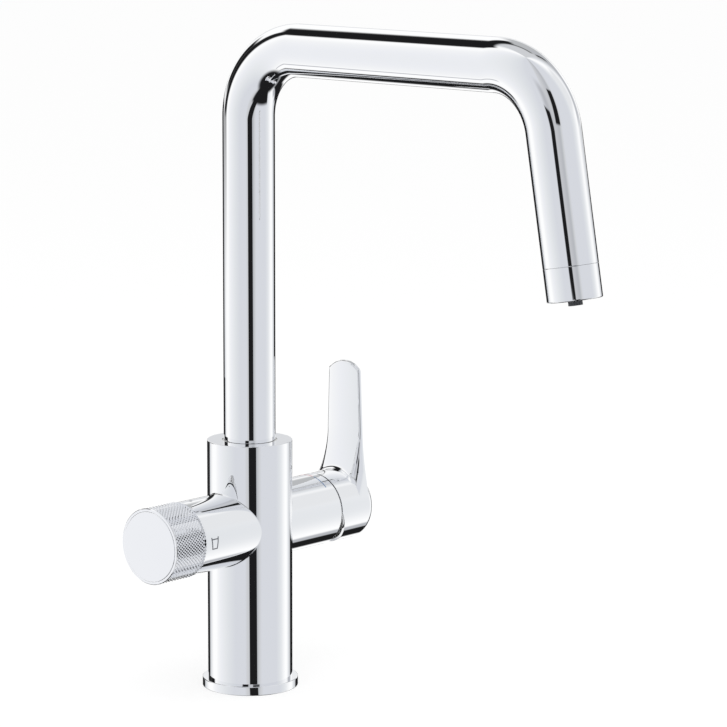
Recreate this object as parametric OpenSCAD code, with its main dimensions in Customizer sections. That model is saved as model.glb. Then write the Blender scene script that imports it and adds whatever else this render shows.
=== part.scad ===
// Kitchen mixer tap with a second lever side for filtered water
// The origin is the middle of the stud hole at the deck, +Z is up and the spout points along -Y.
// The mixer lever is on the +X side and the filter knob on the -X side. All sizes are in millimetres.

/* [Base] */
// Diameter of the flange ring that stands on the deck
base_d = 52; // [50:0.5:60]
// Height of the flange ring
base_h = 5; // [4:0.5:8]
// Rounding of the flange ring's edges
base_round = 0.45; // [0.2:0.05:1]
// Diameter of the body's spigot inside the flange ring
spigot_d = 38; // [36:0.5:40]
// Width of the gasket under the flange ring
gasket_w = 3.4; // [2:0.2:4]
// Thickness of the gasket
gasket_h = 1.6; // [1:0.1:2.5]

/* [Body] */
// Diameter of the upright body
body_d = 46; // [44:0.5:49]
// Height of the body's flat top above the deck
body_top = 136.3; // [134:0.1:150]
// Chamfer of the body's top edge
body_chamfer = 0.4; // [0.2:0.1:1]
// Height of the axis that the lever and the knob share
side_z = 89.5; // [80:0.5:90]
// Diameter of the sleeve and the collar at the sides
side_d = 39.6; // [39:0.1:41]
// Length of the lever sleeve beyond the body's side
sleeve_len = 29.8; // [29:0.1:32]
// Length of the knob collar beyond the body's side
collar_len = 30.8; // [30:0.1:34]

/* [Spout] */
// Outer diameter of the spout tube
spout_d = 28; // [26:0.2:28]
// Wall of the spout tube
spout_wall = 1.5; // [1:0.1:2]
// Height of the level arm's centre line
spout_z = 348; // [300:1:420]
// Distance from the body's axis to the corner above the leg
spout_reach = 201; // [170:1:260]
// Radius of both bends along the centre line
bend_r = 37; // [32:0.5:44]
// Lean of the leg outward from the vertical, in degrees
leg_lean = 10; // [0:1:20]
// Length of the leg from the corner to the joint line
leg_len = 97.9; // [80:0.1:130]
// Depth to which the tube goes into the body
tube_in = 5.8; // [5.3:0.1:7.3]
// Length of the foot bush inside the tube
foot_grip = 15; // [8:1:25]
// Bore of the foot bush
foot_bore_d = 18; // [12:0.5:20]
// Depth of the spout socket below the body's top
socket_depth = 28.3; // [27.3:0.1:29.8]

/* [Outlet] */
// Length of the outlet sleeve below the joint line
outlet_len = 17.2; // [15:0.1:24]
// Rounding of the outlet sleeve's end
outlet_round = 0.8; // [0.3:0.1:1.2]
// Length of the outlet sleeve's spigot inside the tube
outlet_grip = 8; // [5:0.5:14]
// Diameter of the filtered water nozzle's tip
nozzle_d = 7.3; // [6.5:0.1:8]
// Length of the nozzle's tip beyond the sleeve
nozzle_out = 2.6; // [1:0.1:4]
// Number of grooves round the nozzle's tip
nozzle_grooves = 18; // [10:1:22]
// Outer diameter of the inner tube for filtered water
filter_tube_d = 8; // [6:0.1:8]
// Wall of the inner tube
filter_tube_wall = 1; // [0.6:0.1:1.4]
// Number of slots in the aerator
aerator_slots = 16; // [8:1:20]

/* [Lever] */
// Gap between the sleeve and the lever cap
lever_gap = 0.5; // [0.4:0.1:1]
// Length of the lever cap from its rim to its outer face
lever_len = 27.3; // [25:0.1:30]
// Rounding of the cap's outer edge
lever_round = 4.5; // [3:0.1:6]
// Wall of the lever cap
lever_wall = 1.2; // [1:0.1:1.2]
// Depth of the cut-back at the bottom of the cap's rim
lever_cut = 8; // [8:0.1:10]
// Height of the blade's top above the lever's axis
blade_top = 80.5; // [60:0.5:100]
// Width of the blade just above the flare to the cap
blade_foot_w = 24.8; // [23:0.2:28]
// Width of the blade at its top corners
blade_top_w = 22.4; // [20:0.2:28]
// Height of the arc along the blade's top
blade_arc = 4; // [2:0.1:6]
// Thickness of the blade in its middle
blade_t = 5; // [4:0.1:7]
// Lean of the blade's outer face towards the body, in millimetres over its height
blade_lean = 1.3; // [0:0.1:2]
// Radius of the inner face across the blade
blade_inner_r = 80; // [40:1:150]
// Radius of the outer face across the blade
blade_outer_r = 45; // [34:1:80]
// Radius of the flare at the blade's sides where it grows out of the cap
blade_flare_r = 110; // [60:5:130]
// Radius of the hollow between the inner face and the cap
blade_hollow_r = 60; // [50:1:80]
// Height above the lever's axis where the hollow begins
blade_hollow_h = 44; // [40:0.5:50]

/* [Knob] */
// Diameter of the filter knob
knob_d = 40.8; // [40:0.1:44]
// Gap between the collar and the knob
knob_gap = 0.3; // [0.3:0.1:1]
// Length of the knob from its rear edge to its face
knob_len = 23.2; // [22:0.1:30]
// Wall of the knob
knob_wall = 1.6; // [1:0.1:2.5]
// Diameter of the bright disc in the knob's face
knob_face_d = 37.6; // [30:0.2:38]
// Thickness of the bright disc
knob_face_t = 2.1; // [1.5:0.1:3]

/* [Mixer cartridge] */
// Outer diameter of the cartridge housing
cartridge_d = 28; // [27:0.1:28]
// Depth of the cartridge pocket from the sleeve's end
pocket_depth = 23.8; // [23.3:0.1:24.8]
// Thickness of the seal under the cartridge
cartridge_seal_t = 1; // [0.8:0.1:1.5]
// Distance of the lever's tilt pin inside the sleeve's end
pivot_in = 2.8; // [2.6:0.1:3]
// Radius of the tilt pin
pin_r = 1.25; // [1:0.05:1.3]
// Distance from the tilt pin to the ball that moves the disc
stem_arm = 9; // [8.8:0.1:9.2]
// Width of the stem
stem_w = 6; // [5:0.1:6]
// Height of the stem
stem_h = 7; // [6:0.1:7]
// Diameter of the moving ceramic disc
moving_disc_d = 17.2; // [16:0.1:17.2]
// Radius of the dome under the lever cap
dome_r = 18.2; // [17.8:0.1:18.2]

/* [Filter valve] */
// Diameter of the valve housing's thread
valve_d = 18; // [16:0.2:18.4]
// Depth of the valve pocket from the collar's end
valve_depth = 33.8; // [32.8:0.5:34.8]
// Width across the corners of the valve's hexagon
valve_hex_d = 25.4; // [22:0.2:25.4]
// Diameter of the valve's spindle
spindle_d = 8; // [7.6:0.1:8]
// Width of the square end of the spindle
spindle_square = 5.4; // [5:0.1:5.6]
// Diameter of the valve's ceramic discs
valve_disc_d = 14.4; // [13:0.1:14.5]

/* [Inlets] */
// Diameter of the stud thread
stud_d = 8; // [6:1:10]
// Depth of the stud thread
stud_depth = 14; // [10:1:20]
// Diameter of the hot and cold inlet threads
inlet_d = 10; // [8:0.5:10]
// Diameter of the filtered water inlet thread
filter_inlet_d = 8; // [6:0.5:9]
// Depth of the inlet threads
inlet_depth = 12; // [8:1:16]
// Sideways distance of the hot and cold inlets from the middle
inlet_y = 9.5; // [9:0.1:10]
// Distance of the hot and cold inlets towards the lever side
inlet_x = 6; // [5:0.1:7]
// Distance of the filtered water inlet towards the knob side
filter_inlet_x = 11.5; // [11:0.1:12.5]
// Diameter of the water channels
channel_d = 6; // [4:0.5:6]

/* [Marks] */
// Width of the temperature arcs
arc_w = 0.5; // [0.4:0.1:1]
// Distance of the temperature arcs from the sleeve's end
arc_in = 5.8; // [2.8:0.5:8.8]
// Start of the cold arc from the top, in degrees
cold_from = 11.4; // [10.5:0.1:20]
// End of the cold arc
cold_to = 42; // [30:1:60]
// Start of the hot arc from the top
hot_from = 9; // [5:0.1:9.5]
// End of the hot arc
hot_to = -22; // [-45:1:-15]
// Distance of the tumbler mark from the collar's end
glass_in = 6.1; // [4.8:0.1:8.8]
// Height of the tumbler mark
glass_h = 6.6; // [4:0.1:9]
// Width of the tumbler mark at its top
glass_w = 5.6; // [4:0.1:8]
// Width of the tumbler mark at its foot
glass_foot_w = 4; // [3:0.1:6]
// Height of the tumbler's sides above the line of the water
glass_rim = 0.8; // [0.4:0.1:1.2]
// Line width of the tumbler mark
glass_line = 0.6; // [0.4:0.1:0.8]
// Diameter of the dot on the collar
dot_d = 2; // [1:0.1:3]
// Distance of the dot from the collar's end
dot_in = 7.8; // [3.8:0.1:9.8]

/* [Fits] */
// Running clearance between parts that turn in each other
run_gap = 0.05; // [0.02:0.01:0.08]
// Clearance between parts that are fitted together
fit_gap = 0.03; // [0.01:0.01:0.05]
// Section diameter of the spout's O-rings
spout_ring_t = 2.2; // [1.8:0.1:2.4]
// Section diameter of the small O-rings
small_ring_t = 1.5; // [1.2:0.1:1.6]

/* [Hidden] */

$fn = 96;
chrome = [0.78, 0.79, 0.82];
brass = [0.76, 0.62, 0.32];
steel = [0.62, 0.63, 0.65];
rubber = [0.1, 0.1, 0.11];
plastic = [0.86, 0.86, 0.84];
ceramic = [0.95, 0.94, 0.9];
dark = [0.23, 0.23, 0.25];
// How far a cutting solid runs past the solid that it cuts
over = 1;

body_r = body_d/2;
side_r = side_d/2;
spout_r = spout_d/2;

// Where things end, as heights above the deck or distances from the body's axis
sleeve_end = body_r + sleeve_len;
collar_end = body_r + collar_len;
tube_foot_z = body_top - tube_in;
socket_floor = body_top - socket_depth;
lever_rim = sleeve_end + lever_gap;
lever_face = lever_rim + lever_len;
knob_rear = collar_end + knob_gap;
knob_front = knob_rear + knob_len;
pocket_floor = sleeve_end - pocket_depth;
pivot_x = sleeve_end - pivot_in;
valve_floor = collar_end - valve_depth;
spout_bore_r = spout_r - spout_wall;
filter_tube_r = filter_tube_d/2;

// Radii of the spout's socket: the foot runs in the lower one, the slide ring sits in the upper one
foot_r = spout_r - 0.1;
socket_r = foot_r + 0.6;
socket_mouth_r = spout_r + 0.9;
slide_depth = 4.8;
slide_step_z = body_top - slide_depth;
slide_ring_h = slide_depth - 0.4;
nipple_r = filter_tube_r + 0.1;
nipple_depth = 10;
nipple_ring_in = 4;
filter_tube_foot_in = 8;
filter_tube_foot_z = socket_floor - filter_tube_foot_in;
small_ring_r = small_ring_t/2;
nipple_ring_z = socket_floor - nipple_ring_in;

// Heights of the grooves round the foot, each given at its middle
groove_pitch = 5;
o_ring_zs = [socket_floor + groove_pitch, socket_floor + 2*groove_pitch];
lower_slide_z = socket_floor + 3*groove_pitch;
clip_z = tube_foot_z - 3.5;
o_ring_groove = spout_ring_t + 0.3;
lower_slide_h = 3;
clip_h = 1;
clip_r = socket_r + 0.5;
clip_bore_r = foot_r - 0.9;
clip_slit = 3;
// Play of the clip in its groove, and of the foot over the socket's floor
foot_play = 0.1;
foot_groove = 1;

// The leg's corner turns through this angle and starts this far before the corner, to a micrometre
leg_turn = 90 - leg_lean;
leg_tangent = round(1000*bend_r*tan(leg_turn/2))/1000;
// The leg laps the bend by this much and is a hair wider there, so that the two are one solid
leg_lap = 0.1;
leg_hair = 0.01;

// Stack along the mixer's axis, each given as a distance from the body's axis
housing_floor = pocket_floor + cartridge_seal_t;
housing_base_t = 3;
fixed_disc_t = 3;
moving_disc_t = 2.5;
disc_slot_w = 6;
disc_slot_h = 7;
disc_slot_z = -2;
carrier_t = 3;
housing_r = cartridge_d/2;
fixed_disc_x = housing_floor + housing_base_t;
moving_disc_x = fixed_disc_x + fixed_disc_t;
carrier_x = moving_disc_x + moving_disc_t;
turret_x = carrier_x + carrier_t + 0.3;
turret_flange_t = 2.1;
turret_end = sleeve_end - 0.2;
chamber_end = turret_x + turret_flange_t + 0.1;
housing_shoulder = chamber_end + 2;
neck_end = pivot_x + 1;
chamber_r = 12;
turret_r = 9.5;
turret_slot_h = 11;
neck_r = 11.5;
nut_r = 16;
nut_t = 4;
nut_slot = 3;
carrier_rib_y = 5.5;
carrier_rib_w = 2;
carrier_rib_h = 0.8;
carrier_rib_len = 8;
ball_r = 2;
ball_gap = 0.25;
arm_r = 1.6;
arm_end = pivot_x - 4;
stem_in = 6.6;
stem_end = lever_face - stem_in;
dome_t = 1.2;
dome_seat = pivot_x + 0.4;
dome_reach = 11;
dome_end = pivot_x + dome_reach;
boss_r = 7;
boss_gap = 2;
boss_x = dome_end + boss_gap;
cap_floor = lever_face - 5;
port_y = 7.5;
port_z = -3;
port_r = 2.6;
port_shift = 0.5;
nipple_wall = 1.4;
outlet_port_z = 7;
screw_x = boss_x + 5;
screw_r = 2.5;
screw_len = 5;
hex_key_r = 1.45;
cap_arc_x = lever_face - lever_round;

// The blade's flare is a circle at each side that touches the cap's circle and the blade's edge
flare_y = blade_foot_w/2 + blade_flare_r;
flare_z = sqrt(pow(side_r + blade_flare_r, 2) - pow(flare_y, 2));
blade_arc_r = (pow(blade_top_w/2, 2) + pow(blade_arc, 2))/(2*blade_arc);
blade_inner_x = lever_face - blade_t;
blade_depth = blade_inner_x - lever_rim;
blade_tilt = atan(blade_lean/blade_top);

// Stack along the filter valve's axis, each given as a distance from the body's axis
valve_r = valve_d/2;
valve_bore_r = channel_d/2 + 1.5;
valve_seal_t = 1.2;
valve_disc_t = 3;
valve_disc_x = valve_floor + valve_seal_t + 0.2;
valve_moving_x = valve_disc_x + valve_disc_t;
spindle_x = valve_moving_x + valve_disc_t;
spindle_flange_t = 1.2;
valve_chamber_r = valve_disc_d/2 + run_gap;
valve_chamber_end = spindle_x + spindle_flange_t + run_gap;
valve_shoulder_in = 9.8;
valve_shoulder = collar_end - valve_shoulder_in;
valve_hex_t = 3.5;
valve_neck_r = 6.5;
valve_neck_end = knob_rear + 5.9;
valve_window_x = spindle_x + 2.4;
valve_window_w = 3;
valve_window_h = 4;
valve_hex_gap = 0.6;
way_r = 1.5;
quarter_rib = 0.6;
quarter_rim = 1.6;
spindle_r = spindle_d/2;
spindle_square_x = valve_neck_end - 1;
knob_floor = knob_front - 6.3;
spindle_end = knob_floor - 1.2;
knob_boss_r = 7;
knob_boss_x = valve_neck_end + 0.5;
knob_seat = knob_front - knob_face_t;
spindle_ring_in = 9;
spindle_ring_x = valve_neck_end - spindle_ring_in;
knob_screw_r = 2;
knob_screw_head_r = 3.5;
knob_screw_head_x = knob_seat - 2.4;
knob_screw_tip = knob_boss_x + 2;
knob_screw_socket = 1.8;
knob_screw_play = 0.2;
knob_lip = 0.3;
knob_face_round = 0.4;

// Places inside the outlet, each given as a distance below the joint line
outlet_bore_r = spout_r - 2.5;
outlet_neck_r = outlet_bore_r - 1.7;
washer_seat = 3.6;
washer_t = 1.5;
housing_top = washer_seat + washer_t;
screen_t = 0.6;
screen_z = outlet_len - 1.2;
filter_tube_end = 8;
nozzle_body_r = filter_tube_r + 1.2;
nozzle_bore_r = filter_tube_r - filter_tube_wall - 0.6;
nozzle_foot = housing_top - 2;
nozzle_end = outlet_len + nozzle_out;
nozzle_groove_r = 0.3;
slot_ring_r = (outlet_bore_r + nozzle_body_r)/2;
slot_r = 0.8;
screen_pitch = 1.5;
screen_hole_r = 0.5;
nozzle_groove_in = 0.5;

gasket_r = base_d/2 - 1.5;
mark_depth = 0.5;
mark_proud = 0.04;

// A cylinder along +X from x0 to x1
module rod_x(r, x0, x1, fn = 96) {
    translate([x0, 0, 0]) rotate([0, 90, 0]) cylinder(r = r, h = x1 - x0, $fn = fn);
}

// A hollow cylinder along +X
module tube_x(r, bore, x0, x1) {
    difference() {
        rod_x(r, x0, x1);
        rod_x(bore, x0 - over, x1 + over);
    }
}

// A round section swept round the +X axis
module ring_x(r, t, x) {
    translate([x, 0, 0]) rotate([0, 90, 0]) rotate_extrude() translate([r, 0]) circle(d = t);
}

// A flat ring on +Z
module ring_z(r, bore, z0, z1) {
    translate([0, 0, z0]) difference() {
        cylinder(r = r, h = z1 - z0);
        translate([0, 0, -over]) cylinder(r = bore, h = z1 - z0 + 2*over);
    }
}

// Places its children on the mixer's axis
module mixer_side() {
    translate([0, 0, side_z]) children();
}

// Places its children on the filter valve's axis, where +X points out of the knob
module filter_side() {
    translate([0, 0, side_z]) rotate([0, 0, 180]) children();
}

// Places its children in the plane of the second bend, where angles count from the level arm
module on_leg_bend() {
    translate([0, leg_tangent - spout_reach, spout_z - bend_r]) rotate([90, 0, 90])
        rotate([0, 0, 90]) children();
}

// Places its children on the leg, t past the corner, with +Z along the flow
module on_leg(t) {
    on_leg_bend() rotate([0, 0, leg_turn]) translate([bend_r, 0, 0]) rotate([-90, 0, 0])
        translate([0, 0, t - leg_tangent]) children();
}

// A round bar of radius r that follows the spout from height z0 to t past the leg's corner
module spout_bar(r, z0, t) {
    translate([0, 0, z0]) cylinder(r = r, h = spout_z - bend_r - z0);
    translate([0, -bend_r, spout_z - bend_r]) rotate([90, 0, 90])
        rotate_extrude(angle = 90) translate([bend_r, 0]) circle(r = r);
    translate([0, -bend_r, spout_z]) rotate([90, 0, 0])
        cylinder(r = r, h = spout_reach - leg_tangent - bend_r);
    on_leg_bend() rotate_extrude(angle = leg_turn) translate([bend_r, 0]) circle(r = r);
    on_leg(leg_tangent - leg_lap) cylinder(r = r + leg_hair, h = t - leg_tangent + leg_lap);
}

// The outline of a ring's section with rounded outer corners
module ring_section(bore, r, h, round_r) {
    polygon(concat(
        [[bore, 0]],
        [for (a = [0:22.5:90]) [r - round_r + round_r*sin(a), round_r - round_r*cos(a)]],
        [for (a = [0:22.5:90]) [r - round_r + round_r*cos(a), h - round_r + round_r*sin(a)]],
        [[bore, h]]));
}

// The outline of the sleeve's wall, rounded at its far outer corner only
module sleeve_section(bore, r, h, round_r) {
    polygon(concat(
        [[bore, 0], [r, 0]],
        [for (a = [0:22.5:90]) [r - round_r + round_r*cos(a), h - round_r + round_r*sin(a)]],
        [[bore, h]]));
}

module base_ring() {
    color(chrome) difference() {
        rotate_extrude() ring_section(spigot_d/2 + fit_gap, base_d/2, base_h, base_round);
        ring_z(gasket_r + fit_gap, gasket_r - gasket_w - fit_gap, -over, gasket_h);
    }
}

module base_gasket() {
    color(rubber) ring_z(gasket_r, gasket_r - gasket_w, 0, gasket_h);
}

// The threaded holes in the underside, and the channels that lead up from the inlets
module body_waterways() {
    translate([0, 0, -over]) cylinder(d = stud_d, h = stud_depth + over);
    for (side = [-1, 1]) {
        translate([inlet_x, side*inlet_y, -over]) cylinder(d = inlet_d, h = inlet_depth + over);
        translate([inlet_x, side*inlet_y, 0]) cylinder(d = channel_d, h = side_z + port_z);
        translate([0, side*(port_y + port_shift), side_z + port_z])
            rod_x(channel_d/2, inlet_x, pocket_floor + over);
    }
    translate([-filter_inlet_x, 0, -over]) cylinder(d = filter_inlet_d, h = inlet_depth + over);
    translate([-filter_inlet_x, 0, 0]) cylinder(d = channel_d, h = side_z);
    filter_side() rod_x(channel_d/2, filter_inlet_x, valve_floor + over);
    mixed_x = nipple_r + channel_d/2 + nipple_wall;
    translate([0, 0, side_z + outlet_port_z]) {
        rod_x(channel_d/2, mixed_x, pocket_floor + over);
        translate([mixed_x, 0, 0])
            cylinder(d = channel_d, h = socket_floor + over - side_z - outlet_port_z);
    }
}

// The stepped socket for the spout and the nipple for the inner tube
module spout_socket() {
    translate([0, 0, socket_floor]) cylinder(r = socket_r, h = body_top);
    translate([0, 0, slide_step_z]) cylinder(r = socket_mouth_r, h = body_top);
    translate([0, 0, clip_z - clip_h/2 - run_gap])
        cylinder(r = clip_r + run_gap, h = clip_h + 2*run_gap);
    translate([0, 0, socket_floor - nipple_depth]) cylinder(r = nipple_r, h = nipple_depth + over);
    ring_z(filter_tube_r + small_ring_t + run_gap, filter_tube_r,
        nipple_ring_z - small_ring_r - run_gap, nipple_ring_z + small_ring_r + run_gap);
}

// The pocket for the mixer cartridge, its nut and the dome's seat
module mixer_pocket() {
    rod_x(housing_r + fit_gap, pocket_floor, sleeve_end + over);
    rod_x(nut_r + fit_gap, housing_shoulder - 1, sleeve_end + over);
    rod_x(dome_r + fit_gap, dome_seat, sleeve_end + over);
}

// The pocket for the filter valve, the groove that its windows open into, and the way to the nipple
module valve_pocket() {
    rod_x(valve_r + fit_gap, valve_floor, collar_end + over);
    rod_x(valve_hex_d/2 + valve_hex_gap, valve_shoulder, collar_end + over);
    rod_x(valve_r + way_r, valve_window_x - valve_window_w, valve_window_x + valve_window_w);
    way_from = [valve_window_x, valve_r + way_r/2];
    way_to = [0, socket_floor - side_z - nipple_depth/2];
    way = way_to - way_from;
    translate([way_from[0], 0, way_from[1]]) rotate([0, atan2(way[0], way[1]), 0])
        cylinder(r = way_r, h = norm(way));
}

module body() {
    color(chrome) difference() {
        union() {
            cylinder(d = spigot_d, h = base_h + over);
            translate([0, 0, base_h]) cylinder(r = body_r, h = body_top - base_h - body_chamfer);
            translate([0, 0, body_top - body_chamfer])
                cylinder(r1 = body_r, r2 = body_r - body_chamfer, h = body_chamfer);
            mixer_side() rod_x(side_r, 0, sleeve_end);
            filter_side() rod_x(side_r, 0, collar_end);
        }
        body_waterways();
        spout_socket();
        mixer_side() mixer_pocket();
        filter_side() valve_pocket();
        temperature_arc(cold_from, cold_to, fit_gap);
        temperature_arc(hot_to, hot_from, fit_gap);
        collar_relief(fit_gap, over) tumbler_outline(fit_gap);
        collar_dot_solid(fit_gap, over);
    }
}

// Spout

module spout_tube() {
    color(chrome) difference() {
        spout_bar(spout_r, tube_foot_z, leg_len);
        spout_bar(spout_bore_r, tube_foot_z - over, leg_len + over);
    }
}

module spout_foot() {
    color(brass) difference() {
        union() {
            translate([0, 0, socket_floor + foot_play])
                cylinder(r = foot_r, h = tube_foot_z - socket_floor - foot_play);
            translate([0, 0, tube_foot_z]) cylinder(r = spout_bore_r - fit_gap, h = foot_grip);
        }
        translate([0, 0, socket_floor - over])
            cylinder(d = foot_bore_d, h = tube_foot_z + foot_grip);
        for (z = o_ring_zs)
            ring_z(foot_r + over, socket_r - 2*run_gap - spout_ring_t,
                z - o_ring_groove/2, z + o_ring_groove/2);
        ring_z(foot_r + over, foot_r - foot_groove, lower_slide_z - lower_slide_h/2 - run_gap,
            lower_slide_z + lower_slide_h/2 + run_gap);
        ring_z(foot_r + over, clip_bore_r - foot_play, clip_z - clip_h/2 - foot_play,
            clip_z + clip_h/2 + foot_play);
    }
}

module spout_o_rings() {
    color(rubber) for (z = o_ring_zs)
        translate([0, 0, z]) rotate_extrude()
            translate([socket_r - run_gap - spout_ring_t/2, 0]) circle(d = spout_ring_t);
}

module lower_slide_ring() {
    color(plastic) ring_z(socket_r - run_gap, foot_r - foot_groove + fit_gap,
        lower_slide_z - lower_slide_h/2, lower_slide_z + lower_slide_h/2);
}

module upper_slide_ring() {
    color(plastic) ring_z(socket_mouth_r - fit_gap, spout_r + run_gap,
        slide_step_z, slide_step_z + slide_ring_h);
}

module spout_clip() {
    color(steel) difference() {
        ring_z(clip_r, clip_bore_r, clip_z - clip_h/2, clip_z + clip_h/2);
        translate([0, 0, clip_z - over]) cube([clip_r + over, clip_slit, 2*over]);
    }
}

module filter_tube() {
    color(plastic) difference() {
        spout_bar(filter_tube_r, filter_tube_foot_z, leg_len + filter_tube_end);
        spout_bar(filter_tube_r - filter_tube_wall, filter_tube_foot_z - over,
            leg_len + filter_tube_end + over);
    }
}

module filter_tube_seal() {
    color(rubber) translate([0, 0, nipple_ring_z]) rotate_extrude()
        translate([filter_tube_r + fit_gap + small_ring_r, 0]) circle(d = small_ring_t);
}

// Outlet

module outlet_sleeve() {
    color(chrome) on_leg(leg_len) difference() {
        union() {
            translate([0, 0, -outlet_grip])
                cylinder(r = spout_bore_r - fit_gap, h = outlet_grip + over);
            rotate_extrude() sleeve_section(spout_bore_r - 2*over, spout_r, outlet_len, outlet_round);
        }
        translate([0, 0, -outlet_grip - over]) cylinder(r = outlet_neck_r, h = outlet_len);
        translate([0, 0, washer_seat]) cylinder(r = outlet_bore_r, h = outlet_len);
    }
}

module aerator_washer() {
    color(rubber) on_leg(leg_len)
        ring_z(outlet_bore_r - fit_gap, outlet_neck_r, washer_seat, washer_seat + washer_t);
}

module aerator_housing() {
    color(plastic) on_leg(leg_len) difference() {
        ring_z(outlet_bore_r - fit_gap, nozzle_body_r + fit_gap, housing_top, screen_z);
        for (i = [0:aerator_slots - 1]) rotate([0, 0, i*360/aerator_slots])
            translate([slot_ring_r, 0, 0]) cylinder(r = slot_r, h = 2*outlet_len, $fn = 24);
    }
}

module aerator_screen() {
    color(steel) on_leg(leg_len) difference() {
        ring_z(outlet_bore_r - fit_gap, nozzle_body_r + fit_gap, screen_z, screen_z + screen_t);
        for (row = [-1, 0, 1]) for (i = [0:2*aerator_slots - 1])
            rotate([0, 0, (i + row/2)*180/aerator_slots])
                translate([slot_ring_r + screen_pitch*row, 0, 0])
                    cylinder(r = screen_hole_r, h = 2*outlet_len, $fn = 16);
    }
}

module filter_nozzle() {
    color(dark) on_leg(leg_len) difference() {
        union() {
            translate([0, 0, nozzle_foot]) cylinder(r = nozzle_body_r, h = screen_z - nozzle_foot);
            translate([0, 0, nozzle_foot]) cylinder(d = nozzle_d, h = nozzle_end - nozzle_foot);
        }
        translate([0, 0, -over])
            cylinder(r = filter_tube_r + leg_hair + fit_gap, h = filter_tube_end + over + fit_gap);
        cylinder(r = nozzle_bore_r, h = 2*outlet_len);
        for (i = [0:nozzle_grooves - 1]) rotate([0, 0, i*360/nozzle_grooves])
            translate([nozzle_d/2, 0, screen_z + nozzle_groove_in])
                cylinder(r = nozzle_groove_r, h = outlet_len, $fn = 16);
    }
}

// Mixer cartridge

// The three ports through the cartridge's base, seal and fixed disc
module cartridge_ports(x0, x1) {
    for (side = [-1, 1])
        translate([0, side*port_y, port_z]) rod_x(port_r, x0 - over, x1 + over);
    translate([0, 0, outlet_port_z]) rod_x(port_r, x0 - over, x1 + over);
}

module cartridge_seal() {
    color(rubber) mixer_side() difference() {
        rod_x(housing_r - 0.5, pocket_floor, housing_floor);
        cartridge_ports(pocket_floor, housing_floor);
    }
}

module cartridge_housing() {
    color(plastic) mixer_side() difference() {
        union() {
            rod_x(housing_r, housing_floor, housing_shoulder);
            rod_x(neck_r, housing_floor, neck_end);
        }
        rod_x(chamber_r, fixed_disc_x, chamber_end);
        rod_x(turret_r + run_gap, fixed_disc_x, neck_end + over);
        cartridge_ports(housing_floor, fixed_disc_x);
    }
}

module mixer_fixed_disc() {
    color(ceramic) mixer_side() difference() {
        rod_x(chamber_r - 0.5, fixed_disc_x, moving_disc_x);
        cartridge_ports(fixed_disc_x, moving_disc_x);
    }
}

module mixer_moving_disc() {
    color(ceramic) mixer_side() difference() {
        rod_x(moving_disc_d/2, moving_disc_x, carrier_x);
        translate([moving_disc_x - over, -disc_slot_w/2, disc_slot_z])
            cube([over + moving_disc_t/2, disc_slot_w, disc_slot_h]);
    }
}

module disc_carrier() {
    color(dark) mixer_side() difference() {
        union() {
            rod_x(moving_disc_d/2 - 0.2, carrier_x, carrier_x + carrier_t);
            for (side = [-1, 1])
                translate([carrier_x, side*carrier_rib_y - carrier_rib_w/2, -carrier_rib_len/2])
                    cube([carrier_t + carrier_rib_h, carrier_rib_w, carrier_rib_len]);
        }
        rod_x(ball_r + ball_gap, pivot_x - stem_arm - ball_r - 2*run_gap, carrier_x + carrier_t + over);
    }
}

module mixer_turret() {
    groove_w = carrier_rib_w + 4*run_gap;
    color(plastic) mixer_side() difference() {
        union() {
            rod_x(chamber_r - 0.2, turret_x, turret_x + turret_flange_t);
            rod_x(turret_r, turret_x, turret_end);
        }
        for (side = [-1, 1])
            translate([turret_x - over, side*carrier_rib_y - groove_w/2, -chamber_r - over])
                cube([over + carrier_rib_h + 0.2, groove_w, 2*chamber_r + 2*over]);
        translate([turret_x - over, -stem_w/2 - run_gap, -turret_slot_h/2])
            cube([turret_end - turret_x + 2*over, stem_w + 2*run_gap, turret_slot_h]);
        translate([pivot_x, 0, 0]) rotate([90, 0, 0])
            cylinder(r = pin_r + fit_gap, h = 3*turret_r, center = true);
    }
}

module stem_pin() {
    color(steel) mixer_side() translate([pivot_x, 0, 0]) rotate([90, 0, 0])
        cylinder(r = pin_r, h = 2*turret_r - 0.6, center = true);
}

module mixer_stem() {
    color(brass) mixer_side() difference() {
        union() {
            translate([pivot_x - stem_arm, 0, 0]) sphere(r = ball_r, $fn = 48);
            rod_x(arm_r, pivot_x - stem_arm, arm_end + over);
            translate([arm_end, -stem_w/2, -stem_h/2]) cube([stem_end - arm_end, stem_w, stem_h]);
        }
        translate([pivot_x, 0, 0]) rotate([90, 0, 0])
            cylinder(r = pin_r + run_gap, h = 2*stem_w, center = true);
    }
}

module cartridge_nut() {
    color(brass) mixer_side() difference() {
        tube_x(nut_r, neck_r + fit_gap, housing_shoulder, housing_shoulder + nut_t);
        for (i = [0:3]) rotate([45 + 90*i, 0, 0])
            translate([housing_shoulder + nut_t - nut_slot/2, -nut_slot/2, 0])
                cube([over + nut_slot/2, nut_slot, nut_r + over]);
    }
}

// A spherical shell round the tilt pin, so that the cap glides over it
module lever_dome() {
    color(chrome) mixer_side() intersection() {
        translate([pivot_x, 0, 0]) rotate([0, 90, 0]) difference() {
            sphere(r = dome_r, $fn = 128);
            sphere(r = dome_r - dome_t, $fn = 128);
        }
        rod_x(dome_r + over, dome_seat, dome_end);
    }
}

// Lever

// The cap with its boss: a hollow cylinder with a rounded outer edge, turned round the axis
module lever_cap() {
    translate([lever_rim, 0, 0]) rotate([0, 90, 0]) rotate_extrude() {
        difference() {
            union() {
                square([side_r, cap_arc_x - lever_rim]);
                square([side_r - lever_round, lever_face - lever_rim]);
                translate([side_r - lever_round, cap_arc_x - lever_rim]) circle(r = lever_round);
            }
            translate([0, -over]) square([side_r - lever_wall, cap_floor - lever_rim + over]);
        }
        translate([0, boss_x - lever_rim]) square([boss_r, cap_floor - boss_x + over]);
    }
}

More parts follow.
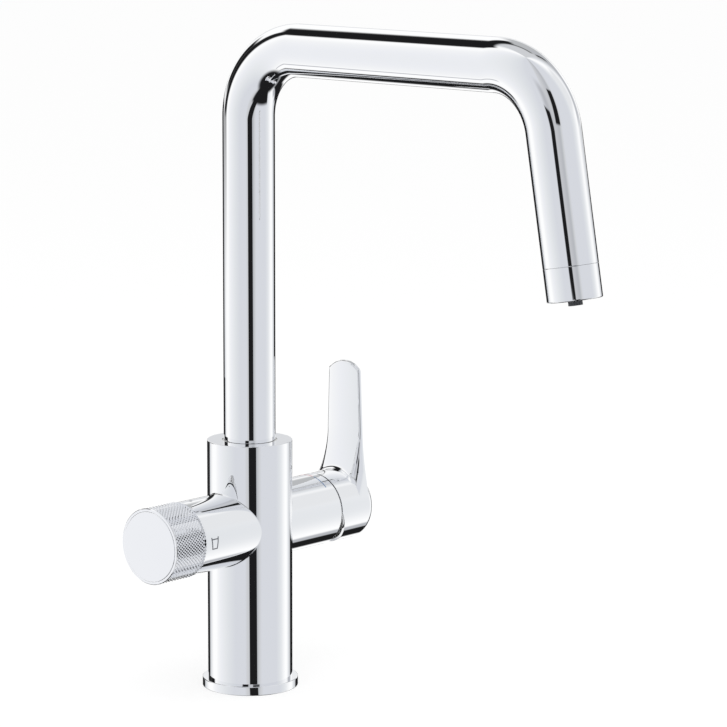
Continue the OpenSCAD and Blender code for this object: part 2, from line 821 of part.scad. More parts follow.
// Points along an arc, both ends included
function arc(centre, r, from, to, steps) =
    [for (i = [0:steps]) let (a = from + (to - from)*i/steps) centre + r*[cos(a), sin(a)]];

// The front outline of the blade, drawn with its width along X and its height along Y
module blade_outline() {
    top_angle = acos(blade_top_w/2/blade_arc_r);
    flare_angle = atan(flare_z/flare_y);
    polygon(concat(
        arc([flare_y, flare_z], blade_flare_r, 180 + flare_angle, 180, 10),
        arc([0, blade_top - blade_arc_r], blade_arc_r, top_angle, 180 - top_angle, 16),
        arc([-flare_y, flare_z], blade_flare_r, 0, -flare_angle, 10)));
}

// The blade's side profile, drawn with the distance from the centre of the inner face's arc along X
module blade_profile() {
    r = blade_inner_r;
    difference() {
        polygon([[r - 2*blade_t, 0], [r + blade_depth, 0], [r + blade_depth, blade_hollow_h],
            [r, blade_hollow_h], [r, blade_top + over], [r - 2*blade_t, blade_top + over]]);
        translate([r + blade_hollow_r, blade_hollow_h]) circle(r = blade_hollow_r);
    }
}

// The front outline, cut to the inner face, which is turned about an upright axis, and the outer face
module lever_blade() {
    difference() {
        intersection() {
            rotate([90, 0, 90]) linear_extrude(2*lever_face) blade_outline();
            translate([blade_inner_x + blade_inner_r, 0, 0]) rotate([0, 0, 135])
                rotate_extrude(angle = 90) blade_profile();
            translate([lever_face - blade_outer_r, 0, 0]) rotate([0, -blade_tilt, 0])
                cylinder(r = blade_outer_r, h = 4*blade_top, center = true, $fn = 180);
        }
        rod_x(side_r - lever_wall/2, lever_rim - over, cap_floor + over);
    }
}

module lever() {
    color(chrome) mixer_side() difference() {
        union() {
            lever_cap();
            lever_blade();
        }
        translate([boss_x - over, -stem_w/2 - fit_gap, -stem_h/2 - fit_gap])
            cube([stem_end - boss_x + over + fit_gap, stem_w + 2*fit_gap, stem_h + 2*fit_gap]);
        translate([screw_x, 0, 0]) rotate([180, 0, 0]) cylinder(r = screw_r + fit_gap, h = 2*side_r);
        rotate([90, 0, 0]) linear_extrude(4*side_r, center = true)
            polygon([[lever_rim - over, 0], [lever_rim, 0], [lever_rim + lever_cut, -side_r],
                [lever_rim + lever_cut + over, -side_r - over*side_r/lever_cut],
                [lever_rim - over, -side_r - over*side_r/lever_cut]]);
    }
}

module lever_screw() {
    color(steel) mixer_side() translate([screw_x, 0, -stem_h/2 - fit_gap]) rotate([180, 0, 0])
        difference() {
            cylinder(r = screw_r, h = screw_len);
            translate([0, 0, screw_len/2]) cylinder(r = hex_key_r, h = screw_len, $fn = 6);
        }
}

// Filter valve

module valve_seal() {
    color(rubber) filter_side()
        tube_x(valve_r - 0.2, valve_bore_r, valve_floor, valve_floor + valve_seal_t);
}

module valve_housing() {
    color(brass) filter_side() difference() {
        union() {
            rod_x(valve_r, valve_floor + valve_seal_t, valve_shoulder + over);
            rod_x(valve_hex_d/2, valve_shoulder, valve_shoulder + valve_hex_t, 6);
            rod_x(valve_neck_r, valve_shoulder, valve_neck_end);
        }
        rod_x(valve_chamber_r, valve_disc_x, valve_chamber_end);
        rod_x(valve_bore_r, valve_floor, valve_disc_x + over);
        rod_x(spindle_r + run_gap, valve_disc_x, valve_neck_end + over);
        ring_groove_x();
        for (turn = [0, 90]) rotate([turn, 0, 0])
            translate([valve_window_x - valve_window_w/2, -valve_window_h/2, -valve_r - over])
                cube([valve_window_w, valve_window_h, 2*valve_r + 2*over]);
    }
}

// The groove in the housing's neck for the spindle's O-ring
module ring_groove_x() {
    rod_x(spindle_r + small_ring_t + run_gap, spindle_ring_x - small_ring_r - run_gap,
        spindle_ring_x + small_ring_r + run_gap);
}

// A disc with two quarter openings
module quarter_disc(r, x0, x1, turn) {
    difference() {
        rod_x(r, x0, x1);
        for (half = [0, 2]) rotate([turn + half*90, 0, 0])
            translate([x0 - over, quarter_rib, quarter_rib]) intersection() {
                cube([x1 - x0 + 2*over, r, r]);
                translate([0, -quarter_rib, -quarter_rib]) rod_x(r - quarter_rim, 0, x1 - x0 + 2*over);
            }
    }
}

module valve_fixed_disc() {
    color(ceramic) filter_side()
        quarter_disc(valve_disc_d/2, valve_disc_x, valve_moving_x, 0);
}

module valve_moving_disc() {
    color(ceramic) filter_side()
        quarter_disc(valve_disc_d/2 - fit_gap, valve_moving_x, spindle_x, 90);
}

module valve_spindle() {
    color(brass) filter_side() difference() {
        union() {
            rod_x(valve_disc_d/2 - fit_gap, spindle_x, spindle_x + spindle_flange_t);
            rod_x(spindle_r, spindle_x, spindle_square_x);
            translate([spindle_square_x, -spindle_square/2, -spindle_square/2])
                cube([spindle_end - spindle_square_x, spindle_square, spindle_square]);
        }
        rod_x(knob_screw_r + fit_gap, knob_screw_tip - 1, spindle_end + over);
    }
}

module spindle_seal() {
    color(rubber) filter_side() ring_x(spindle_r + fit_gap + small_ring_r, small_ring_t, spindle_ring_x);
}

module knob() {
    socket = spindle_square/2 + fit_gap;
    color(chrome) filter_side() difference() {
        union() {
            difference() {
                rod_x(knob_d/2, knob_rear, knob_front - knob_lip);
                rod_x(knob_d/2 - knob_wall, knob_rear - over, knob_floor);
            }
            rod_x(knob_boss_r, knob_boss_x, knob_floor + over);
        }
        rod_x(knob_face_d/2 + fit_gap, knob_seat, knob_front + over);
        translate([knob_boss_x - over, -socket, -socket])
            cube([spindle_end + knob_screw_play - knob_boss_x + over, 2*socket, 2*socket]);
        rod_x(knob_screw_r + fit_gap, spindle_end, knob_seat + over);
        rod_x(knob_screw_head_r + fit_gap, knob_screw_head_x, knob_seat + over);
    }
}

module knob_screw() {
    color(steel) filter_side() difference() {
        union() {
            rod_x(knob_screw_r, knob_screw_tip, knob_screw_head_x + over/2);
            rod_x(knob_screw_head_r, knob_screw_head_x, knob_seat - knob_screw_play);
        }
        rod_x(hex_key_r, knob_seat - knob_screw_socket, knob_seat, 6);
    }
}

module knob_face() {
    color(chrome) filter_side() {
        rod_x(knob_face_d/2, knob_seat, knob_front - knob_face_round);
        translate([knob_front - knob_face_round, 0, 0]) rotate([0, 90, 0])
            cylinder(r1 = knob_face_d/2, r2 = knob_face_d/2 - knob_face_round, h = knob_face_round);
    }
}

// Marks

// A thin arc let into the sleeve, its angles counted from the top towards the front
module temperature_arc(from, to, gap) {
    gap_angle = gap*180/(PI*side_r);
    mixer_side() translate([sleeve_end - arc_in - arc_w/2 - gap, 0, 0]) rotate([90, 0, 90])
        rotate([0, 0, 90 + from - gap_angle]) rotate_extrude(angle = to - from + 2*gap_angle)
            translate([side_r - mark_depth - gap, 0])
                square([mark_depth + mark_proud + gap, arc_w + 2*gap]);
}

module cold_mark() {
    color([0.16, 0.35, 0.75]) temperature_arc(cold_from, cold_to, 0);
}

module hot_mark() {
    color([0.8, 0.12, 0.1]) temperature_arc(hot_to, hot_from, 0);
}

// The outer skin of the collar, cut to the flat shape given, which faces the front
module collar_relief(gap, proud) {
    intersection() {
        filter_side() tube_x(side_r + proud, side_r - mark_depth - gap, 0, collar_end);
        translate([glass_in - collar_end, 0, side_z]) rotate([90, 0, 0])
            linear_extrude(2*side_r) children();
    }
}

// A tumbler drawn as four strokes: two leaning sides, a base and the line of the water
module tumbler_outline(gap) {
    inset = glass_line + gap;
    difference() {
        polygon([[-glass_foot_w/2 - gap, -glass_h/2 - gap], [glass_foot_w/2 + gap, -glass_h/2 - gap],
            [glass_w/2 + gap, glass_h/2 + gap], [-glass_w/2 - gap, glass_h/2 + gap]]);
        difference() {
            polygon([[-glass_foot_w/2 + inset, -glass_h/2 + inset],
                [glass_foot_w/2 - inset, -glass_h/2 + inset],
                [glass_w/2 - inset, glass_h/2 + over], [-glass_w/2 + inset, glass_h/2 + over]]);
            translate([-glass_w, glass_h/2 - glass_rim - inset])
                square([2*glass_w, glass_line + 2*gap]);
        }
    }
}

module tumbler_mark() {
    color(dark) collar_relief(0, mark_proud) tumbler_outline(0);
}

module collar_dot_solid(gap, proud) {
    intersection() {
        filter_side() tube_x(side_r + proud, side_r - mark_depth - gap, 0, collar_end);
        translate([dot_in - collar_end, 0, side_z]) cylinder(d = dot_d + 2*gap, h = 2*side_r);
    }
}

module collar_dot() {
    color(dark) collar_dot_solid(0, mark_proud);
}

base_ring();
base_gasket();
body();
spout_tube();
spout_foot();
spout_o_rings();
lower_slide_ring();
upper_slide_ring();
spout_clip();
filter_tube();
filter_tube_seal();
outlet_sleeve();
aerator_washer();
aerator_housing();
aerator_screen();
filter_nozzle();
cartridge_seal();
cartridge_housing();
mixer_fixed_disc();
mixer_moving_disc();
disc_carrier();
mixer_turret();
stem_pin();
mixer_stem();
cartridge_nut();
lever_dome();
lever();
lever_screw();
valve_seal();
valve_housing();
valve_fixed_disc();
valve_moving_disc();
valve_spindle();
spindle_seal();
knob();
knob_screw();
knob_face();
cold_mark();
hot_mark();
tumbler_mark();
collar_dot();
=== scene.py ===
"""Kitchen mixer tap with a filtered water side: its visible shells, finishes and studio

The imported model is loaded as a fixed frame. Each operator below makes one piece, or one group
of like pieces, in the place of its node in the frame.
"""

import math

import bmesh
import bpy
from mathutils import Matrix, Vector


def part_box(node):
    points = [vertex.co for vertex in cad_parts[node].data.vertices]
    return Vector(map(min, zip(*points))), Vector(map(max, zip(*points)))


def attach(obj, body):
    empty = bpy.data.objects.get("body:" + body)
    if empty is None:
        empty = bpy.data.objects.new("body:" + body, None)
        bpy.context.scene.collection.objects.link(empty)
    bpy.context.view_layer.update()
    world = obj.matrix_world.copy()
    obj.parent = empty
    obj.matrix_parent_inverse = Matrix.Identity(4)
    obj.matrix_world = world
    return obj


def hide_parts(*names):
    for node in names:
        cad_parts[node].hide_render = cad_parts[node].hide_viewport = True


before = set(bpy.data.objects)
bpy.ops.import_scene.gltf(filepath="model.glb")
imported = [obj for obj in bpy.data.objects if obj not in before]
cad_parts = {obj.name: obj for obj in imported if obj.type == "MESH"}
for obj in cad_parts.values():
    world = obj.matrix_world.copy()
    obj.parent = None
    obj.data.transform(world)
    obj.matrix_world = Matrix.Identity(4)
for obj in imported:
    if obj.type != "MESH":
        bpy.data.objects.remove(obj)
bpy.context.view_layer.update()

bl_info = {
    "name": "Filter Kitchen Mixer Tap",
    "version": (1, 0, 0),
    "blender": (4, 5, 0),
    "location": "View3D > Sidebar > Mixer Tap",
    "description": "Builds the shells and finishes of a kitchen mixer tap over its packed frame",
    "category": "Object",
}

MM = 0.001
TURN = 2 * math.pi
RING_STEPS = 160
BEND_STEPS = 40
THREAD_STEPS = 40
FILLET_STEPS = 6
EDGE_STEPS = 3
DOME_STEPS = 16
SHARP_ANGLE = math.radians(32)
KNURL_ANGLE = math.radians(12)
MERGE = 1e-7

BODY_LOW, BODY_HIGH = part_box("body")
FLANGE_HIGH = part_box("base_ring")[1]
TUBE_LOW, TUBE_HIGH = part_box("spout_tube")
LEVER_LOW, LEVER_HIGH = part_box("lever")
KNOB_LOW, KNOB_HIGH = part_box("knob")
FACE_LOW, FACE_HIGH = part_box("knob_face")

BODY_R = BODY_HIGH.y
SIDE_Z = (KNOB_LOW.z + KNOB_HIGH.z) / 2

# Sizes inside the pieces, which the frame's boxes don't give

FIT = 0.03 * MM
SPIGOT_STEP = 4 * MM
SEAT_DEPTH = 4.8 * MM
SOCKET_STEP = 0.4 * MM
SOCKET_DEPTH = 28 * MM
THREAD_PITCH = 1.5 * MM
THREAD_DEPTH = 0.45 * MM

# The holes in the body's foot, each (x, y, radius, depth), and the steps of the bores in its
# sides, each (radius, depth), all in millimetres

HOLES = [(0, 0, 4, 14), (6, 9.5, 5, 12), (6, -9.5, 5, 12), (-11.5, 0, 4, 12)]
LEVER_BORES = [(18.25, 2.4), (16.05, 14), (14.05, 24)]
KNOB_BORES = [(13.3, 9.8), (9.05, 33)]


def length(name, description, default, low, high):
    """A size that a user may change, given in millimetres."""
    return bpy.props.FloatProperty(name=name, description=description, default=default * MM,
                                   min=low * MM, max=high * MM, precision=5, unit="LENGTH")


def angle(name, description, degrees, low, high):
    """An angle that a user may change."""
    return bpy.props.FloatProperty(name=name, description=description,
                                   default=math.radians(degrees), min=math.radians(low),
                                   max=math.radians(high), subtype="ANGLE")


def paint(name, description, default):
    """A colour that a user may change."""
    return bpy.props.FloatVectorProperty(name=name, description=description, default=default,
                                         size=3, min=0, max=1, subtype="COLOR")


class TapBodySizes(bpy.types.PropertyGroup):
    """Sizes of the flange, the body and its two side sleeves"""

    flange_round: length("Flange rounding", "Rounding of the flange's edges", 0.45, 0.1, 1)
    top_round: length("Top edge", "Rounding of the body's top edge", 0.35, 0.05, 1)
    mouth_r: length("Spout mouth", "Radius of the hole for the spout", 14.9, 14, 16)
    side_r: length("Side sleeves", "Radius of the sleeve and the collar", 19.8, 19, 21)
    seam_round: length("Seam fillet", "Fillet where the sleeves leave the body", 0.7, 0.1, 2)
    end_round: length("Sleeve edges", "Rounding of the sleeves' end edges", 0.25, 0.05, 1)


class TapSpoutSizes(bpy.types.PropertyGroup):
    """Sizes of the spout tube and its outlet"""

    tube_r: length("Tube radius", "Outer radius of the spout tube", 14, 13, 16)
    wall: length("Tube wall", "Wall of the spout tube", 1.5, 0.8, 3)
    bend_r: length("Bend radius", "Radius of the bends along the centre line", 37, 30, 60)
    reach: length("Reach", "Distance from the upright to the leg's corner", 201, 150, 260)
    lean: angle("Leg lean", "Lean of the leg outward from the vertical", 10, 0, 20)
    leg: length("Leg", "Length of the leg from its corner to the joint line", 97.9, 80, 140)
    sleeve: length("Outlet sleeve", "Length of the outlet sleeve", 17.2, 12, 25)
    sleeve_round: length("Outlet edge", "Rounding of the sleeve's end", 0.8, 0.2, 1.5)
    groove: length("Joint line", "Depth of the joint line above the sleeve", 0.22, 0.05, 0.5)


class TapLeverSizes(bpy.types.PropertyGroup):
    """Sizes of the mixer lever"""

    face_round: length("Cap edge", "Rounding round the cap's outer face", 4.5, 2, 6)
    wall: length("Cap wall", "Wall of the hollow cap", 1.2, 0.8, 2)
    cut: length("Cut-back", "Depth of the cut at the bottom of the cap's rim", 8, 4, 10)
    foot_w: length("Blade foot", "Half width of the blade above its flare", 12.4, 11, 15)
    top_w: length("Blade top", "Half width of the blade at its top corners", 11.2, 10, 14)
    top_arc: length("Top arc", "Height of the arc along the blade's top", 4, 1, 6)
    thickness: length("Blade thickness", "Thickness in the blade's middle", 5, 4, 7)
    lean: length("Blade lean", "How far the outer face leans towards the body", 1.3, 0, 2)
    inner_r: length("Inner crown", "Radius of the inner face across the blade", 80, 40, 150)
    outer_r: length("Outer crown", "Radius of the outer face across the blade", 45, 34, 80)
    flare_r: length("Flare", "Radius of the flare from the cap to the blade", 110, 60, 130)
    hollow_r: length("Hollow", "Radius of the hollow above the cap", 60, 50, 80)
    hollow_h: length("Hollow's top", "Height above the axis where the hollow begins", 44, 40, 50)
    side_round: length("Blade side", "Rounding of the blade's sides at their foot", 4.5, 1, 6)
    edge_round: length("Blade edge", "Rounding of the blade's edges", 1.2, 0.1, 1.5)
    seam_round: length("Foot fillet", "Fillet where the inner face meets the cap", 2.4, 0.3, 3)


class TapKnobSizes(bpy.types.PropertyGroup):
    """Sizes of the filter knob and its knurl"""

    pitch: length("Knurl length", "Length of the knurl's points along the knob", 2.2, 1, 3)
    pitch_round: length("Knurl width", "Width of the knurl's points round the knob", 1.9, 1, 3)
    depth: length("Knurl depth", "Depth of the knurl's grooves", 0.72, 0.1, 1)
    front_rim: length("Front rim", "Width of the plain rim in front of the knurl", 0.5, 0.2, 2)
    rear_rim: length("Rear rim", "Width of the plain rim behind the knurl", 0.9, 0.2, 2)
    edge_round: length("Face edge", "Rounding of the bright disc's edge", 0.4, 0.1, 1)


class TapColours(bpy.types.PropertyGroup):
    """Colours of the finishes"""

    chrome: paint("Chrome", "Polished chrome plate", (0.93, 0.935, 0.945))
    # The bare metal's dull roughness is its own, but its near-black colour is painted shade in the
    # bores and behind the knob.
    bare: paint("Bare metal with painted shade", "Dull metal inside the chromed pieces", (0.035, 0.035, 0.036))
    dome: paint("Dome", "Pale satin of the dome under the lever's cap", (0.86, 0.87, 0.88))
    steel: paint("Steel", "Plain steel of the screws, the clip and the screen", (0.52, 0.53, 0.54))
    brass: paint("Brass", "Turned brass of the inner parts", (0.72, 0.50, 0.20))
    rubber: paint("Rubber", "Black rubber of the seals", (0.018, 0.018, 0.02))
    light_plastic: paint("Light plastic", "Pale plastic of the inner rings", (0.70, 0.70, 0.68))
    dark_plastic: paint("Dark plastic", "Dark grey plastic of the nozzle", (0.05, 0.052, 0.06))
    ceramic: paint("Ceramic", "Ceramic of the valve discs", (0.84, 0.82, 0.77))
    cold: paint("Cold", "Enamel of the cold arc", (0.008, 0.10, 0.26))
    hot: paint("Hot", "Enamel of the hot arc", (0.55, 0.05, 0.06))
    print: paint("Print", "Grey enamel of the tumbler and the dot", (0.09, 0.095, 0.11))


class TapStage(bpy.types.PropertyGroup):
    """The studio"""

    floor: paint("Floor", "Pale floor", (0.93, 0.93, 0.93))
    camera_place: bpy.props.FloatVectorProperty(
        name="Camera", description="Place of the camera", default=(-1.3323, -1.2550, 0.4890),
        size=3, precision=4, subtype="TRANSLATION", unit="LENGTH")
    camera_yaw: angle("Yaw", "Turn of the camera from the back towards the right", 48.635, 0, 90)
    camera_pitch: angle("Pitch", "How far the camera looks down", 9.654, 0, 90)
    camera_roll: angle("Roll", "Roll of the camera", 0.143, -5, 5)
    camera_focus: bpy.props.FloatProperty(
        name="Focal length", description="Focal length in widths of the picture", default=4.7402,
        min=1, max=10)


# The room that the chrome mirrors, its directions in degrees: 0 is the picture's left, 90 the
# camera and -90 straight behind. The walls give (direction, colour), and each card (name,
# colour, middle, half width, height, half height, lean with the height, softness).

BLACK = (0.012, 0.012, 0.013)
SLATE = (0.47, 0.48, 0.51)
STONE = (0.61, 0.62, 0.64)
PALE = (0.675, 0.692, 0.735)
HAZE = (0.74, 0.76, 0.785)
MIST = (0.80, 0.815, 0.835)
PEARL = (0.91, 0.915, 0.925)
WHITE = (1.0, 1.0, 1.0)

ROOM_STRENGTH = 1.06
ROOM_WALLS = [(-180, HAZE), (-173, MIST), (-165, PEARL), (-156, WHITE), (-150, WHITE),
              (-145, PEARL), (-139, HAZE), (-131, STONE), (-46, STONE), (-42, HAZE),
              (-35, (0.87, 0.87, 0.87)), (-28, WHITE), (-14, WHITE), (-5, PEARL),
              (5, (0.85, 0.86, 0.89)), (18, MIST), (32, HAZE), (52, PALE), (79, PALE),
              (84, STONE), (109, SLATE), (113, (0.5, 0.52, 0.54)), (117, STONE), (124, PALE),
              (168, PALE), (180, HAZE)]
ROOM_CARDS = [
    ("Back frame", BLACK, -71, 49, 27, 33, 0, 3),
    ("Back window", WHITE, -83, 41, 19, 24, 0, 3),
    ("Left frame", BLACK, -50, 10, 12, 11, 0, 3),
    ("Right sky", (0.48, 0.49, 0.50), -112, 20, 38, 18, 0, 4),
    ("Right haze", (0.79, 0.80, 0.815), -163, 15, 36, 18, 0, 5),
    ("Back sky", (0.69, 0.70, 0.72), -90, 16, 9, 6, 0, 4),
    ("Right post", SLATE, -128, 7, 27, 22, 0.68, 5),
    ("Front table", BLACK, 136, 44, -62, 27, 0, 5),
    ("Dark table", BLACK, 0, 400, -80, 20, 0, 6),
    ("Right bar", BLACK, -123.5, 2.2, 44, 8, 0, 1.6),
    ("Back floor", BLACK, -89.2, 38.4, -28, 26, 0, 1.5),
    ("Right foot", SLATE, -142, 6, -45, 9, 0, 4),
    ("Back floor's foot", BLACK, -84, 52, -40, 18, 0, 3),
    ("Bright floor", WHITE, -88, 17, -28, 10, 0, 4),
    ("Left seam", SLATE, -13, 1.5, -42, 14, 0, 1),
    ("Front strip", BLACK, 108.6, 10.2, -35, 34, -0.39, 0.8),
    ("Front haze", SLATE, 78, 9, 27, 18, -0.3, 8),
    ("Front strip's top", BLACK, 80, 8, 12, 10, -0.5, 1.5),
    ("Front crease", BLACK, 108, 9, 31, 17, 0, 1.5),
]

CARD_INPUTS = ("Middle", "Half width", "Height", "Half height", "Lean", "Softness")

# Shapes

UPRIGHT = Matrix.Identity(4)
LEVER_SIDE = Matrix.Translation((0, 0, SIDE_Z)) @ Matrix.Rotation(math.pi / 2, 4, "Y")
KNOB_SIDE = Matrix.Translation((0, 0, SIDE_Z)) @ Matrix.Rotation(-math.pi / 2, 4, "Y")


def on_leg(sizes, along):
    """The place at a distance down the leg from its corner, with +Z along the flow."""
    corner = Vector((0, -sizes.reach, TUBE_HIGH.z - sizes.tube_r))
    way = Vector((0, -math.sin(sizes.lean), -math.cos(sizes.lean)))
    return Matrix.Translation(corner + along * way) @ Matrix.Rotation(math.pi - sizes.lean, 4, "X")


def turned(bm, outline, place, rounds=(), steps=RING_STEPS):
    """Turns a closed outline of (radius, height) points round the place's +Z axis.
    rounds gives the (radius, segments) of each corner that is rounded, by its number."""
    corners = [bm.verts.new((radius, 0, height)) for radius, height in outline]
    sides = [bm.edges.new((corner, corners[i - 1])) for i, corner in enumerate(corners)]
    section = set(corners) | set(sides)
    for corner, (radius, segments) in dict(rounds).items():
        made = bmesh.ops.bevel(bm, geom=[corners[corner]], offset=radius, offset_type="OFFSET",
                               segments=segments, profile=0.5, affect="VERTICES", material=-1)
        section |= set(made["verts"]) | set(made["edges"])
    section = [part for part in section if part.is_valid]
    corners = [part for part in section if isinstance(part, bmesh.types.BMVert)]
    section += [e for corner in corners for e in corner.link_edges if e not in section]
    before = set(bm.verts)
    bmesh.ops.spin(bm, geom=list(dict.fromkeys(section)), cent=(0, 0, 0), axis=(0, 0, 1),
                   dvec=(0, 0, 0), angle=TURN, steps=steps, use_merge=True, use_duplicate=False)
    spun = [v for v in bm.verts if v not in before] + [v for v in corners if v.is_valid]
    bmesh.ops.remove_doubles(bm, verts=spun, dist=MERGE)
    spun = [v for v in spun if v.is_valid]
    bmesh.ops.transform(bm, matrix=place, verts=spun)
    return spun


def grown(bm, edges):
    """Extrudes edges in place and gives the new corners and edges."""
    made = bmesh.ops.extrude_edge_only(bm, edges=edges)["geom"]
    return [[part for part in made if isinstance(part, kind)]
            for kind in (bmesh.types.BMVert, bmesh.types.BMEdge)]


def wall(bm, rings, steps=RING_STEPS):
    """Draws a wall through closed rings. Each ring is a function from a turn to a point."""
    turn = bm.verts.layers.float.get("turn") or bm.verts.layers.float.new("turn")
    ring = bmesh.ops.create_circle(bm, segments=steps, radius=1)["verts"]
    for step, vert in enumerate(ring):
        vert[turn] = TURN * step / steps
        vert.co = rings[0](vert[turn])
    edges = list({e for v in ring for e in v.link_edges})
    first = edges
    for point in rings[1:]:
        ring, edges = grown(bm, edges)
        for vert in ring:
            vert.co = point(vert[turn])
    return first, edges


def off_axis(spot):
    """How far a point lies from the axis of the sleeve and the collar."""
    return math.hypot(spot.y, spot.z - SIDE_Z)


def on_side(r, x, turn):
    """The point at a turn of the ring round the axis of the sleeve and the collar."""
    return Vector((x, r * math.sin(turn), SIDE_Z + r * math.cos(turn)))


def give_second_finish(bm, inside):
    """Gives the second finish to the faces whose middle is inside, as a function says."""
    for face in bm.faces:
        if inside(face.calc_center_median()):
            face.material_index = 1


def piece(name, bm, body, materials, nodes, sharp=SHARP_ANGLE):
    """Finishes a mesh as a named piece that rides on a body in the place of its nodes."""
    bmesh.ops.recalc_face_normals(bm, faces=bm.faces)
    for edge in bm.edges:
        edge.smooth = len(edge.link_faces) == 2 and edge.calc_face_angle() < sharp
    for face in bm.faces:
        face.smooth = True
    mesh = bpy.data.meshes.new(name)
    bm.to_mesh(mesh)
    bm.free()
    for material in materials:
        mesh.materials.append(material)
    obj = bpy.data.objects.new(name, mesh)
    bpy.context.scene.collection.objects.link(obj)
    level = obj.modifiers.new("Level shading", "WEIGHTED_NORMAL")
    level.keep_sharp = True
    level.weight = 100
    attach(obj, body)
    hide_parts(*nodes)
    return obj


# Finishes

def node(tree, kind, x, y, inputs=None, **values):
    """Adds a shader node at a place in its tree. inputs gives some of its sockets, by their
    names or numbers, a value or another node's output."""
    made = tree.nodes.new(kind)
    made.location = (x, y)
    for key, value in values.items():
        setattr(made, key, value)
    for key, value in (inputs or {}).items():
        if isinstance(value, bpy.types.NodeSocket):
            tree.links.new(value, made.inputs[key])
        else:
            made.inputs[key].default_value = value
    return made


def math_node(tree, operation, x, y, *inputs):
    """Adds a Math node and gives its output. An input is a number or another node's output."""
    made = node(tree, "ShaderNodeMath", x, y, dict(enumerate(inputs)), operation=operation)
    return made.outputs["Value"]


def handling_marks():
    """A group for the faint unevenness of a handled surface: a roughness, a normal and a shade."""
    group = bpy.data.node_groups.get("Handling marks")
    if group:
        return group
    group = bpy.data.node_groups.new("Handling marks", "ShaderNodeTree")
    for name, value in [("Scale", 60), ("Roughness", 0.05), ("Spread", 0.02), ("Relief", 0.02),
                        ("Mottle", 0.1), ("Stretch", (1, 1, 1))]:
        kind = "NodeSocketVector" if name == "Stretch" else "NodeSocketFloat"
        socket = group.interface.new_socket(name, in_out="INPUT", socket_type=kind)
        socket.default_value = value
    for name, kind in [("Roughness", "Float"), ("Shade", "Float"), ("Normal", "Vector")]:
        group.interface.new_socket(name, in_out="OUTPUT", socket_type="NodeSocket" + kind)
    inlet = node(group, "NodeGroupInput", -900, 0).outputs
    place = node(group, "ShaderNodeTexCoord", -900, 300)
    drawn = node(group, "ShaderNodeVectorMath", -700, 300,
                 {0: place.outputs["Object"], 1: inlet["Stretch"]}, operation="MULTIPLY")
    cloud = node(group, "ShaderNodeTexNoise", -500, 200,
                 {"Vector": drawn.outputs["Vector"], "Scale": inlet["Scale"], "Detail": 4})
    centred = math_node(group, "SUBTRACT", -300, 100, cloud.outputs["Fac"], 0.5)
    rough = math_node(group, "MULTIPLY_ADD", -100, 100, centred, inlet["Spread"],
                      inlet["Roughness"])
    shade = math_node(group, "MULTIPLY_ADD", -100, 300, centred, inlet["Mottle"], 1)
    bump = node(group, "ShaderNodeBump", 200, -200,
                {"Distance": 0.05 * MM, "Strength": inlet["Relief"],
                 "Height": cloud.outputs["Fac"]})
    node(group, "NodeGroupOutput", 500, 0,
         {"Roughness": rough, "Shade": shade, "Normal": bump.outputs["Normal"]})
    return group


def finish(name, colour, metallic, roughness, spread, scale, relief, mottle, coat=0.0,
           stretch=(1, 1, 1)):
    """Makes a material from the Principled shader and the group of handling marks."""
    made = bpy.data.materials.get(name)
    if made:
        return made
    made = bpy.data.materials.new(name)
    made.use_nodes = True
    tree = made.node_tree
    shader = tree.nodes["Principled BSDF"]
    shader.inputs["Metallic"].default_value = metallic
    shader.inputs["Coat Weight"].default_value = coat
    marks = node(tree, "ShaderNodeGroup", -600, 0,
                 {"Scale": scale, "Roughness": roughness, "Spread": spread, "Relief": relief,
                  "Mottle": mottle, "Stretch": stretch}, node_tree=handling_marks()).outputs
    tint = node(tree, "ShaderNodeVectorMath", -300, 200, {0: colour, "Scale": marks["Shade"]},
                operation="SCALE")
    tree.links.new(tint.outputs["Vector"], shader.inputs["Base Color"])
    tree.links.new(marks["Roughness"], shader.inputs["Roughness"])
    tree.links.new(marks["Normal"], shader.inputs["Normal"])
    return made


def room_card():
    """A group that marks one card of the room: a rectangle of directions with soft edges."""
    group = bpy.data.node_groups.get("Room card")
    if group:
        return group
    group = bpy.data.node_groups.new("Room card", "ShaderNodeTree")
    for name in ("Around", "Rise", *CARD_INPUTS):
        group.interface.new_socket(name, in_out="INPUT", socket_type="NodeSocketFloat")
    group.interface.new_socket("Mask", in_out="OUTPUT", socket_type="NodeSocketFloat")
    inlet = node(group, "NodeGroupInput", -1000, 0).outputs
    above = math_node(group, "SUBTRACT", -800, -100, inlet["Rise"], inlet["Height"])
    leaning = math_node(group, "MULTIPLY_ADD", -600, 0, above, inlet["Lean"], inlet["Middle"])
    aside = math_node(group, "SUBTRACT", -400, 100, inlet["Around"], leaning)

    def inside(offset, half, y):
        far = math_node(group, "ABSOLUTE", -200, y, offset)
        begin = math_node(group, "SUBTRACT", 0, y - 60, half, inlet["Softness"])
        end = math_node(group, "ADD", 0, y - 120, half, inlet["Softness"])
        edge = node(group, "ShaderNodeMapRange", 200, y,
                    {"Value": far, "From Min": begin, "From Max": end, "To Min": 1, "To Max": 0},
                    interpolation_type="SMOOTHSTEP")
        return edge.outputs["Result"]

    both = math_node(group, "MULTIPLY", 500, 0, inside(aside, inlet["Half width"], 200),
                     inside(above, inlet["Half height"], -200))
    node(group, "NodeGroupOutput", 800, 0, {"Mask": both})
    return group


def chrome():
    """Mirror chrome plate."""
    tints = bpy.context.scene.tap_colours
    return finish("Chrome plate", tints.chrome, 1.0, 0.012, 0.008, 45, 0.0, 0.012)


def satin():
    """The pale satin of the dome and of the inside of the lever's cap."""
    tints = bpy.context.scene.tap_colours
    return finish("Pale satin", tints.dome, 0.0, 0.35, 0.1, 300, 0.05, 0.05)


def bare():
    """Metal inside a piece, which the chrome bath barely reached: dull bare metal, with a
    near-black colour that is painted shade in the recesses.
    """
    tints = bpy.context.scene.tap_colours
    return finish("Bare metal with painted shade", tints.bare, 1.0, 0.5, 0.2, 400, 0.2, 0.3)


